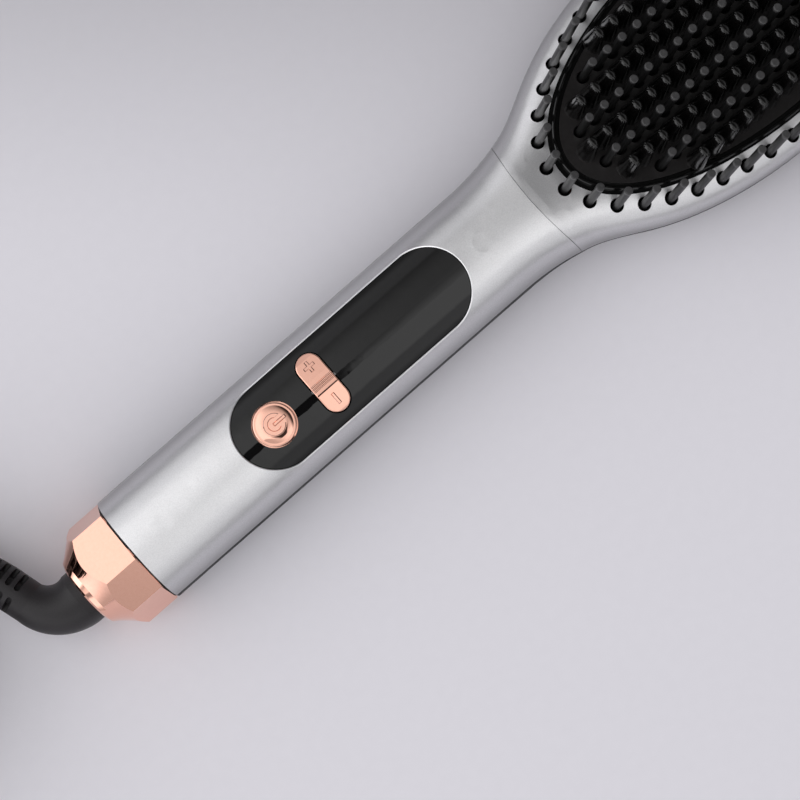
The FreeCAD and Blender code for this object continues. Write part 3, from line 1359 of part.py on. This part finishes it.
def make_mains_leads():
    """Two leads from the swivel's stem to the mains board."""
    z_top = size("mains_board_height") + size("board_wall") + 0.75
    begin = x_flange + size("stem_beyond") + 0.3
    end = x_seam + size("mains_board_from_seam") + 1.0
    return Part.makeCompound([
        lead([
            Vector(begin, side * 1.0, z_axis), Vector(begin + 0.8, side * 1.2, z_axis),
            Vector(begin + 4.3, side * 5.2, z_axis - 1.0), Vector(end - 2.0, side * 5.6, z_top + 1.5),
            Vector(end, side * 6.6, z_top),
        ], 0.7)
        for side in (-1, 1)
    ])


def make_heater_leads():
    """Two leads from the control board through the neck to the heaters."""
    begin = x_power - size("board_before_power") + size("board_length") - 8.0
    z_low = size("board_height") - 0.75
    end = face_frame.multVec(Vector(-clamp_screw_end + 2.0, 0, clamp_under - 0.8))
    return Part.makeCompound([
        lead([
            Vector(begin, side * 4.8, z_low), Vector(begin + 30.0, side * 4.8, z_low),
            Vector(end.x, side * 4.8, end.z),
        ], 0.7)
        for side in (-1, 1)
    ])


feature("mains_leads", make_mains_leads())
feature("heater_leads", make_heater_leads())

# ---------------------------------------------------------------- mains cord, coil and plug
CORD_ROUTE = [
    (-168.7, 46.0, 12.4),
    (-174.7, 56.4, 9.6),
    (-182.9, 65.2, 6.0),
    (-192.0, 71.4, 3.5),
]
coil_middle = Vector(-217.6, 36.0, 0)
coil_top = size("coil_layers") * 2 * size("cord_radius")
plug_start = coil_middle + Vector(-20.9, 16.0, coil_top + size("plug_body_height") / 2)
plug_frame = Placement(plug_start, Rotation(Vector(0, 0, 1), size("plug_heading")))


def rounded_path(points):
    """Straight runs joined by arcs that are as large as their runs allow."""
    edges = []
    begin = points[0]
    for before, at, after in zip(points, points[1:], points[2:]):
        into = (at - before).normalize()
        out = (after - at).normalize()
        turn = into.getAngle(out)
        run = min((at - before).Length, (after - at).Length)
        radius = 0.45 * run / math.tan(turn / 2)
        first = at - into * 0.45 * run
        last = at + out * 0.45 * run
        bisector = (out - into).normalize()
        centre = at + bisector * (radius / math.cos(turn / 2))
        middle = centre - bisector * radius
        edges.append(Part.makeLine(begin, first))
        edges.append(Part.Arc(first, middle, last).toShape())
        print("cord turn %.1f degrees, radius %.1f mm" % (math.degrees(turn), radius))
        begin = last
    edges.append(Part.makeLine(begin, points[-1]))
    return Part.Wire(edges)


def make_cord():
    """Free stretch of the cord, from the strain relief to the coil."""
    points = [cord_exit] + [Vector(*place) for place in CORD_ROUTE]
    path = rounded_path(points)
    heading = (points[1] - points[0]).normalize()
    section = Part.Wire(Part.Circle(points[0], heading, size("cord_radius")).toShape())
    tube = path.makePipeShell([section], True, True)
    expected = math.pi * size("cord_radius") ** 2 * path.Length
    print("cord length %.1f mm, volume %.0f of %.0f mm3" % (path.Length, tube.Volume, expected))
    return tube


def make_coil():
    """Outer shape of the wound-up cord."""
    half = size("coil_columns") * size("cord_radius")
    ring = Part.makeCylinder(size("coil_radius") + half, coil_top, coil_middle)
    ring = ring.cut(Part.makeCylinder(size("coil_radius") - half, coil_top, coil_middle))
    return ring.makeChamfer(0.3 * 2 * size("cord_radius"), [e for e in ring.Edges if len(e.Vertexes) == 1])


def make_mains_plug():
    """Flat two-pin plug with a tapered boot, lying on the coil."""
    boot_length = size("plug_boot_length")
    width = size("plug_body_width")
    height = size("plug_body_height")
    length = size("plug_body_length")
    body = Part.makeBox(length, width, height, Vector(boot_length, -width / 2, -height / 2))
    body = body.makeFillet(3.5, [e for e in body.Edges if e.BoundBox.XLength > length - 1e-6])
    boot = Part.makeCone(4.2, 5.6, boot_length, Vector(0, 0, 0), Vector(1, 0, 0))
    plug = body.fuse(boot)
    plug.Placement = plug_frame
    return plug


def make_plug_pins():
    """Round pins of the plug."""
    begin = size("plug_boot_length") + size("plug_body_length")
    pins = []
    for side in (-1, 1):
        at = Vector(begin, side * size("plug_pin_spacing") / 2, 0)
        pin = Part.makeCylinder(size("plug_pin_radius"), size("plug_pin_length"), at, Vector(1, 0, 0))
        pins.append(pin.makeChamfer(0.6, [e for e in pin.Edges if e.BoundBox.XMin > at.x + 1]))
    both = Part.makeCompound(pins)
    both.Placement = plug_frame
    return both


feature("mains_cord", make_cord())
feature("cord_coil", make_coil())
feature("mains_plug", make_mains_plug())
feature("plug_pins", make_plug_pins())

# ---------------------------------------------------------------- checks and export
doc.recompute()
for item in doc.Objects:
    if "Invalid" in item.State or "Error" in item.State:
        raise RuntimeError("%s failed: %s" % (item.Label, item.State))
os.makedirs("parts", exist_ok=True)
for node in nodes:
    shape = node.Shape
    if shape.isNull() or not shape.isValid():
        raise RuntimeError("%s has no valid shape" % node.Label)
for node in nodes:
    node.Shape.exportStep("parts/%s.step" % node.Label)
print("%d sub-parts" % len(nodes))
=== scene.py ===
import math

import bpy
from mathutils import Matrix, Vector


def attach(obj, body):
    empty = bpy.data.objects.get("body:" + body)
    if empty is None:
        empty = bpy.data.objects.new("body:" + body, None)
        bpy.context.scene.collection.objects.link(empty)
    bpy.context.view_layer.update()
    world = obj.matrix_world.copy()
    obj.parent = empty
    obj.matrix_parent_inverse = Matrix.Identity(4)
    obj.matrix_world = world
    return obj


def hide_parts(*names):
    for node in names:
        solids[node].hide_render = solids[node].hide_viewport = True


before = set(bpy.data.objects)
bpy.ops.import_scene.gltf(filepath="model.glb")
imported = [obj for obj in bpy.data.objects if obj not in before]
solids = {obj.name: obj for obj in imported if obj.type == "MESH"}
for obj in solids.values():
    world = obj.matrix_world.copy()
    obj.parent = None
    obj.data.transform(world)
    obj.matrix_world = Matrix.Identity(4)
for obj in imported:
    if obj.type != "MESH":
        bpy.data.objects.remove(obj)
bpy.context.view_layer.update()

scene = bpy.context.scene

# ------------------------------------------------------------------ camera
# Long lens high over the grip, leaning three degrees to the right-hand side of the brush.
# The brush lies diagonally across the square picture.
aim = Vector((-0.05195, -0.0163, 0.0255))
distance = 0.759
lean = math.radians(3.0)
sideways = Vector((0, math.cos(lean), math.sin(lean)))
backwards = Vector((0, -math.sin(lean), math.cos(lean)))
along_x, along_y = 0.7524, 0.6587
right = along_x * Vector((1, 0, 0)) - along_y * sideways
upwards = along_y * Vector((1, 0, 0)) + along_x * sideways
turn = Matrix((right.normalized(), upwards.normalized(), backwards)).transposed()
lens = bpy.data.cameras.new("camera")
lens.sensor_width = 36.0
lens.lens = 135.0
camera = bpy.data.objects.new("camera", lens)
camera.matrix_world = Matrix.Translation(aim + distance * backwards) @ turn.to_4x4()
scene.collection.objects.link(camera)
scene.camera = camera
scene.view_settings.view_transform = "Standard"


# ------------------------------------------------------------------ mains cord
# Round rubber-sheathed mains cord, 6.5 mm thick and about 1.8 m long, moulded into the elbow's
# strain relief. It goes down to the table and is wound up there in a coil of eight turns.
def feed(tree, value, socket):
    """Sets a socket to a number or links it to another socket."""
    if isinstance(value, float):
        socket.default_value = value
    else:
        tree.links.new(value, socket)


def ramp(tree, value, low, high, start, end, course="LINEAR"):
    """Number that goes from start to end while a value goes from low to high."""
    node = tree.nodes.new("ShaderNodeMapRange")
    node.interpolation_type = course
    limits = (("Value", value), ("From Min", low), ("From Max", high), ("To Min", start), ("To Max", end))
    for name, item in limits:
        feed(tree, item, node.inputs[name])
    return node.outputs["Result"]


def rough_skin():
    """Node group: fine grain and broad clouds that vary over a surface."""
    group = bpy.data.node_groups.new("rough_skin", "ShaderNodeTree")
    group.interface.new_socket(name="Grains per metre", in_out="INPUT", socket_type="NodeSocketFloat")
    group.interface.new_socket(name="Grain", in_out="OUTPUT", socket_type="NodeSocketFloat")
    group.interface.new_socket(name="Cloud", in_out="OUTPUT", socket_type="NodeSocketFloat")
    inside = group.nodes.new("NodeGroupInput")
    outside = group.nodes.new("NodeGroupOutput")
    place = group.nodes.new("ShaderNodeTexCoord")
    grains = group.nodes.new("ShaderNodeTexNoise")
    grains.inputs["Detail"].default_value = 2.0
    clouds = group.nodes.new("ShaderNodeTexNoise")
    clouds.inputs["Scale"].default_value = 45.0
    group.links.new(place.outputs["Object"], grains.inputs["Vector"])
    group.links.new(place.outputs["Object"], clouds.inputs["Vector"])
    group.links.new(inside.outputs["Grains per metre"], grains.inputs["Scale"])
    grain = ramp(group, grains.outputs["Fac"], 0.3, 0.7, 0.0, 1.0)
    group.links.new(grain, outside.inputs["Grain"])
    group.links.new(clouds.outputs["Fac"], outside.inputs["Cloud"])
    return group


skin_group = rough_skin()
grain_depth = 0.00002


def finish(name, dark, light, roughness, grains, bump=0.0, shine=()):
    """Material whose colour, roughness and relief follow one grain, with even numbers for its shine."""
    material = bpy.data.materials.new(name)
    material.use_nodes = True
    tree = material.node_tree
    shader = tree.nodes["Principled BSDF"]
    for socket, number in shine:
        shader.inputs[socket].default_value = number
    skin = tree.nodes.new("ShaderNodeGroup")
    skin.node_tree = skin_group
    skin.inputs["Grains per metre"].default_value = grains
    tint = tree.nodes.new("ShaderNodeMix")
    tint.data_type = "RGBA"
    tint.inputs["A"].default_value = (*dark, 1)
    tint.inputs["B"].default_value = (*light, 1)
    tree.links.new(skin.outputs["Grain"], tint.inputs["Factor"])
    tree.links.new(tint.outputs["Result"], shader.inputs["Base Color"])
    matt = ramp(tree, skin.outputs["Cloud"], 0.35, 0.65, *roughness)
    tree.links.new(matt, shader.inputs["Roughness"])
    if bump:
        relief = tree.nodes.new("ShaderNodeBump")
        relief.inputs["Strength"].default_value = bump
        relief.inputs["Distance"].default_value = grain_depth
        tree.links.new(skin.outputs["Grain"], relief.inputs["Height"])
        tree.links.new(relief.outputs["Normal"], shader.inputs["Normal"])
    return material


rubber = finish(
    "black_rubber", (0.013, 0.011, 0.0125), (0.019, 0.0165, 0.0185), (0.42, 0.54), 3200.0, 0.35,
    shine=[("Specular IOR Level", 0.4)],
)

cord_radius = 0.00325
cord_exit = (-0.16562, 0.03497, 0.01275)
cord_points = [
    cord_exit,
    (-0.1687, 0.0460, 0.0124),
    (-0.1747, 0.0564, 0.0096),
    (-0.1829, 0.0652, 0.0060),
    (-0.1920, 0.0714, 0.0035),
]
coil_middle = Vector((-0.2176, 0.0360, 0.0))
coil_start = 54.0
outer_column, inner_column = 0.03825, 0.03175
# radius and layer of each turn, from the first on the table to the last on top
turns = [
    (outer_column, 0), (inner_column, 0), (inner_column, 1), (outer_column, 1),
    (outer_column, 2), (inner_column, 2), (inner_column, 3), (outer_column, 3),
]
turn_points = 16
# over its last points a turn passes to the place of the next one
passing_points = 6
# the first turn comes in from outside over its first points
lead_in, lead_in_points = 0.0054, 4


def around(middle, radius, angle, height):
    """Control point for a circle; the spline weighs a point 3/4 and each neighbour 1/8."""
    reach = radius / (0.75 + 0.25 * math.cos(2 * math.pi / turn_points))
    turned = math.radians(angle)
    return middle.x + reach * math.cos(turned), middle.y + reach * math.sin(turned), height


def layer_height(layer):
    """Height of the cord's middle in a layer of the coil."""
    return cord_radius * (1 + 2 * layer)


for number, (column, layer) in enumerate(turns):
    next_column, next_layer = turns[min(number + 1, len(turns) - 1)]
    for step in range(1 if number == 0 else 0, turn_points):
        share = max(0.0, (step - turn_points + passing_points) / passing_points)
        radius = column + share * (next_column - column)
        if number == 0:
            radius += max(0.0, lead_in * (1 - step / lead_in_points))
        height = layer_height(layer + share * (next_layer - layer))
        cord_points.append(around(coil_middle, radius, coil_start + 360 * step / turn_points, height))


def heading(angle):
    """Level direction at an angle from the brush's length."""
    return Vector((math.cos(math.radians(angle)), math.sin(math.radians(angle)), 0))


# the last turn leaves the coil in a tighter bend, up to the plug that lies on top
end_radius = 0.028
end_middle = coil_middle + (outer_column - end_radius) * heading(coil_start)
end_points, end_angle = 6, 110
top_layer = layer_height(3)
plug_height = 0.03285
for step in range(end_points):
    share = step / end_points
    height = top_layer + (plug_height - top_layer) * share * share * (3 - 2 * share)
    cord_points.append(around(end_middle, end_radius, coil_start + end_angle * share, height))
plug_start = coil_middle + Vector((-0.0209, 0.0160, plug_height))
plug_grip = 0.004 * heading(254)
cord_points.append(tuple(plug_start - plug_grip))
cord_points.append(tuple(plug_start + plug_grip))

curve = bpy.data.curves.new("mains_lead", "CURVE")
curve.dimensions = "3D"
line = curve.splines.new("NURBS")
line.points.add(len(cord_points) - 1)
for point, place in zip(line.points, cord_points):
    point.co = (*place, 1)
line.order_u = 3
line.use_endpoint_u = True
line.resolution_u = 6
curve.bevel_depth = cord_radius
curve.bevel_resolution = 6
curve.use_fill_caps = True
curve.materials.append(rubber)
cord = bpy.data.objects.new("mains_lead", curve)
scene.collection.objects.link(cord)
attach(cord, "swivel")
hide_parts("mains_cord", "cord_coil")


# ------------------------------------------------------------------ elbow and plug
# Soft rubber, moulded over the leads: the elbow with its flex slots turns in the tail on a steel
# clip, and the plug on the cord's end holds two turned, nickel-plated pins.
def dress(material, *names):
    """Gives carried-over solids their material."""
    for name in names:
        solid = solids[name]
        solid.data.materials.clear()
        solid.data.materials.append(material)


dress(rubber, "swivel_elbow", "mains_plug")
nickel = finish(
    "nickel", (0.66, 0.65, 0.62), (0.72, 0.71, 0.69), (0.16, 0.26), 900.0, shine=[("Metallic", 1.0)]
)
dress(nickel, "plug_pins")

# ------------------------------------------------------------------ front shells
# Plastic, moulded in two parts that meet at the neck, and held by screws from the back. They are
# sprayed with a fine silver metallic paint under a satin lacquer.
silver = finish(
    "silver_paint", (0.79, 0.785, 0.80), (0.89, 0.885, 0.90), (0.3, 0.35), 3400.0, 0.15,
    shine=[("Metallic", 0.9), ("Coat Weight", 0.1), ("Coat Roughness", 0.3)],
)


def darken(material, share):
    """Multiplies the base colour by a share that changes over the surface."""
    tree = material.node_tree
    color = tree.nodes["Principled BSDF"].inputs["Base Color"]
    darker = tree.nodes.new("ShaderNodeMix")
    darker.data_type = "RGBA"
    darker.blend_type = "MULTIPLY"
    darker.inputs["Factor"].default_value = 1.0
    tree.links.new(color.links[0].from_socket, darker.inputs["A"])
    tree.links.new(share, darker.inputs["B"])
    tree.links.new(darker.outputs["Result"], color)


# painted shade: the base colour is darkened where the paint is seen at a slant. This is partly the flop of
# the flat-lying flakes and partly painted shade for the grip's darker flanks
painted_slant_shade = silver.node_tree.nodes.new("ShaderNodeLayerWeight")
painted_slant_shade.inputs["Blend"].default_value = 0.5
darken(silver, ramp(silver.node_tree, painted_slant_shade.outputs["Facing"], 0.05, 0.75, 1.0, 0.42))
dress(silver, "grip_front_shell", "head_front_shell")

# ------------------------------------------------------------------ back shell and tail frame
# Black plastic, moulded with a fine spark-eroded texture. The back shell takes the screws, and
# the tail frame joins it and the front shell to the end collar.
black_plastic = finish(
    "black_plastic", (0.007, 0.007, 0.007), (0.011, 0.011, 0.011), (0.5, 0.62), 1800.0, 0.3,
    shine=[("Specular IOR Level", 0.3)],
)
dress(black_plastic, "back_shell", "tail_frame")

# ------------------------------------------------------------------ control panel
# Piano-black acrylic strip, bent over the grip and let into the front shell, with the display
# behind it.
piano_black = finish(
    "piano_black", (0.0028, 0.0026, 0.0028), (0.0034, 0.0032, 0.0034), (0.028, 0.04), 60.0
)
dress(piano_black, "control_panel", "display_module")

# ------------------------------------------------------------------ keys and end collar
# Plastic with a vacuum-metallised rose-gold skin under clear lacquer. The power key slides in the
# panel, the rocker tilts on a pin behind it, and the collar sits on the tail frame.
rose_gold = finish(
    "rose_gold", (0.93, 0.51, 0.39), (0.95, 0.53, 0.41), (0.035, 0.055), 1200.0,
    shine=[("Metallic", 1.0), ("Coat Weight", 0.3)],
)
dress(rose_gold, "power_key", "rocker_key", "end_collar")

# ------------------------------------------------------------------ plate and rim
# Cast metal plate with its wedge-shaped teeth, under a glossy black ceramic coat. It lies on the
# ledge of a moulded black rim, which is let into the head's front shell.
ceramic_coat = finish(
    "ceramic_coat", (0.024, 0.022, 0.022), (0.028, 0.026, 0.026), (0.12, 0.18), 900.0, 0.1
)
face_normal = (0.0958, 0, 0.9954)


def along(tree, place, direction):
    """How far a place lies along a direction."""
    node = tree.nodes.new("ShaderNodeVectorMath")
    node.operation = "DOT_PRODUCT"
    node.inputs[1].default_value = direction
    tree.links.new(place, node.inputs[0])
    return node.outputs["Value"]


def darken_by_height(material, low, high, start, end):
    """Darkens a colour by the height above the origin's level, square to the head's tilted face."""
    tree = material.node_tree
    place = tree.nodes.new("ShaderNodeTexCoord")
    darken(material, ramp(tree, along(tree, place.outputs["Object"], face_normal), low, high, start, end))


# the colour is darkened above the plate's face, on the teeth
darken_by_height(ceramic_coat, 0.0263, 0.0275, 1.0, 0.2)
dress(ceramic_coat, "heater_plate")
rim_black = finish("rim_black", (0.003, 0.003, 0.003), (0.005, 0.005, 0.005), (0.1, 0.16), 800.0)
dress(rim_black, "plate_rim")

# ------------------------------------------------------------------ bristles
# Dark nylon with flat tips. Below the tips its colour is darkened, painted shade among the bristles and
# on their pad. The bristles stand on a flexible pad under the plate and on an oval strip under the
# head's shell. The soft filling plug in the back looks alike.
nylon = finish(
    "dark_nylon", (0.052, 0.051, 0.052), (0.068, 0.067, 0.068), (0.32, 0.42), 1500.0, 0.1,
    shine=[("Specular IOR Level", 0.2)],
)
# painted shade: the nylon's colour is darkened below the tips' height, standing in for the shadow among
# the bristles
darken_by_height(nylon, 0.0395, 0.0405, 0.15, 1.0)
dress(nylon, "nylon_bristles", "rim_bristles", "rim_bristle_carrier", "bristle_pad", "filling_plug")

# ------------------------------------------------------------------ circuit boards
# Green glass-fibre boards on posts of the back shell, with a relay, a capacitor and the keys'
# switches soldered on them.
board_green = finish("board_green", (0.01, 0.09, 0.03), (0.015, 0.13, 0.045), (0.3, 0.4), 500.0)
dress(board_green, "control_board", "mains_board")
part_black = finish("part_black", (0.02, 0.02, 0.02), (0.03, 0.03, 0.03), (0.5, 0.6), 1500.0)
dress(part_black, "relay", "tact_switches")

# ------------------------------------------------------------------ heater and steam chamber
# Two alumina heaters lie on the plate's underside with a temperature sensor, over a fuse and a
# steam chamber of aluminium. The capacitor's can and the swivel's white bush look like them.
alumina = finish("alumina", (0.74, 0.73, 0.68), (0.82, 0.81, 0.77), (0.55, 0.7), 2000.0)
dress(alumina, "ceramic_heaters", "temperature_sensor", "swivel_bush")
aluminium = finish(
    "aluminium_can", (0.60, 0.60, 0.62), (0.68, 0.68, 0.70), (0.35, 0.45), 900.0, shine=[("Metallic", 1.0)]
)
dress(aluminium, "capacitor", "thermal_fuse", "steam_chamber")

# ------------------------------------------------------------------ clamp, clip, pin and screws
# Bright steel: the sheet clamp that presses the heaters on the plate, its screws, the screws of
# the shells, the rocker's pin and the clip that keeps the elbow in its bush.
steel = finish(
    "bright_steel", (0.52, 0.52, 0.52), (0.60, 0.60, 0.60), (0.25, 0.35), 1500.0, shine=[("Metallic", 1.0)]
)
dress(steel, "rocker_pin", "shell_screws", "heater_clamp", "clamp_screws", "swivel_clip")

# ------------------------------------------------------------------ water tank and tube
# Clear plastic tank on the floor of the head, and the tube that feeds the steam chamber.
clear_plastic = finish(
    "clear_plastic", (0.80, 0.86, 0.88), (0.84, 0.90, 0.92), (0.08, 0.14), 300.0,
    shine=[("Transmission Weight", 0.9)],
)
dress(clear_plastic, "water_tank", "water_tube")

# ------------------------------------------------------------------ leads
# Red silicone leads from the swivel to the mains board, and through the neck to the heaters.
lead_skin = finish("lead_skin", (0.30, 0.06, 0.03), (0.36, 0.08, 0.05), (0.4, 0.5), 1200.0)
dress(lead_skin, "mains_leads", "heater_leads")

# ------------------------------------------------------------------ floor
# Plain pale sweep of matt paper that the brush lies on. Its colour is darkened beyond the brush, painted
# shade for the paper's uneven light.
floor_reach = 3.0
corners = [(-1, -1), (1, -1), (1, 1), (-1, 1)]
mesh = bpy.data.meshes.new("floor")
mesh.from_pydata([(floor_reach * x, floor_reach * y, 0) for x, y in corners], [], [(0, 1, 2, 3)])
floor = bpy.data.objects.new("floor", mesh)
scene.collection.objects.link(floor)
paper = finish(
    "paper", (0.865, 0.845, 0.90), (0.875, 0.855, 0.91), (0.8, 0.9), 300.0,
    shine=[("Specular IOR Level", 0.1)],
)
mesh.materials.append(paper)


def fade(tree, value, low, high, start, end):
    """Ramp that leaves its start and reaches its end without a corner."""
    return ramp(tree, value, low, high, start, end, "SMOOTHSTEP")


tree = paper.node_tree
spot = tree.nodes.new("ShaderNodeNewGeometry")
into_painted_shade = along(tree, spot.outputs["Position"], (along_y, along_x, 0))
# painted shade: the paper's colour darkens beyond the brush
darken(paper, fade(tree, into_painted_shade, -0.022, 0.128, 1.0, 0.56))

# ------------------------------------------------------------------ light tent's roof
# Square lamp, as bright as white paper where nothing dims it. It fades out in a round form. Its
# left half grows dim towards the head, its right half towards the tail and past the head.
roof_side = 2.4
roof_place = (0, 0, 1.1)
roof_light = bpy.data.lights.new("tent_roof", "AREA")
roof_light.shape = "SQUARE"
roof_light.size = roof_side
roof_light.energy = math.pi * roof_side ** 2
roof_light.use_nodes = True
tree = roof_light.node_tree


def calculate(tree, kind, first, second=0.0):
    """Math node over two numbers or sockets."""
    node = tree.nodes.new("ShaderNodeMath")
    node.operation = kind
    feed(tree, first, node.inputs[0])
    feed(tree, second, node.inputs[1])
    return node.outputs["Value"]


def multiply(tree, first, *shares):
    """Product of sockets."""
    for share in shares:
        first = calculate(tree, "MULTIPLY", first, share)
    return first


def split(tree, vector):
    """X, Y and Z of a vector socket."""
    node = tree.nodes.new("ShaderNodeSeparateXYZ")
    tree.links.new(vector, node.inputs["Vector"])
    return node.outputs["X"], node.outputs["Y"], node.outputs["Z"]


spot = tree.nodes.new("ShaderNodeNewGeometry")
ahead, across, _ = split(tree, spot.outputs["Position"])
left_fade = fade(tree, ahead, 0.06, 0.22, 1.0, 0.07)
left_level = multiply(tree, fade(tree, ahead, -0.3, 0.1, 1.35, 0.46), left_fade)
far_right = fade(tree, across, -0.8, -0.4, 0.7, 0.0)
right_fade = calculate(tree, "MAXIMUM", fade(tree, ahead, 0.07, 0.21, 1.0, 0.05), far_right)
right_level = multiply(tree, fade(tree, ahead, -0.35, 0.0, 0.6, 1.22), right_fade)
# the halves pass into each other over a seam that grows wider towards the head
seam = -0.02
seam_half = fade(tree, ahead, -0.08, 0.03, 0.02, 0.14)
seam_low = calculate(tree, "SUBTRACT", seam, seam_half)
seam_high = calculate(tree, "ADD", seam, seam_half)
halves = fade(tree, across, seam_low, seam_high, right_level, left_level)
far_left = fade(tree, across, 0.2, 1.0, 1.0, fade(tree, ahead, -0.27, -0.07, 1.0, 0.6))
reach = tree.nodes.new("ShaderNodeVectorMath")
reach.operation = "DISTANCE"
reach.inputs[1].default_value = roof_place
tree.links.new(spot.outputs["Position"], reach.inputs[0])
round_form = fade(tree, reach.outputs["Value"], 0.9, 1.2, 1.0, 0.0)
# a dark slit in the cloth, which the panel mirrors beside the keys
slit_middle = -0.0435
from_slit = calculate(tree, "ABSOLUTE", calculate(tree, "SUBTRACT", across, slit_middle))
slit_end = fade(tree, ahead, -0.075, -0.05, 0.0, 0.85)
slit_start = fade(tree, ahead, -0.2, -0.15, 1.0, 0.0)
slit_ends = calculate(tree, "MAXIMUM", slit_start, slit_end)
slit = calculate(tree, "MAXIMUM", fade(tree, from_slit, 0.083, 0.088, 0.03, 1.0), slit_ends)
level = multiply(tree, halves, far_left, round_form, slit)
tree.links.new(level, tree.nodes["Emission"].inputs["Strength"])
roof = bpy.data.objects.new("tent_roof", roof_light)
roof.location = roof_place
scene.collection.objects.link(roof)

# ------------------------------------------------------------------ light tent's walls
# The world is the tent's cloth. It is brightest behind the tail, dimmer close to the floor, and
# dark overhead, where the roof hangs.
world = bpy.data.worlds.new("tent_walls")
world.use_nodes = True
tree = world.node_tree
where = tree.nodes.new("ShaderNodeTexCoord")
ahead, across, above = split(tree, where.outputs["Generated"])
left_wall = fade(tree, ahead, -0.15, 0.1, 0.93, 0.5)
right_wall = fade(tree, ahead, -0.15, 0.1, 0.62, 0.86)
sides = fade(tree, across, -0.3, 0.3, right_wall, left_wall)
behind = fade(tree, ahead, -0.6, -0.2, 2.3, 1.0)
in_front = fade(tree, ahead, 0.12, 0.32, 1.0, 0.65)
near_floor = fade(tree, above, 0.05, 0.4, 0.4, 1.0)
overhead = fade(tree, above, 0.67, 0.77, 1.0, 0.02)
cloth = tree.nodes["Background"]
cloth.inputs["Color"].default_value = (0.98, 0.98, 1.0, 1)
tree.links.new(multiply(tree, sides, behind, in_front, near_floor, overhead), cloth.inputs["Strength"])
scene.world = world
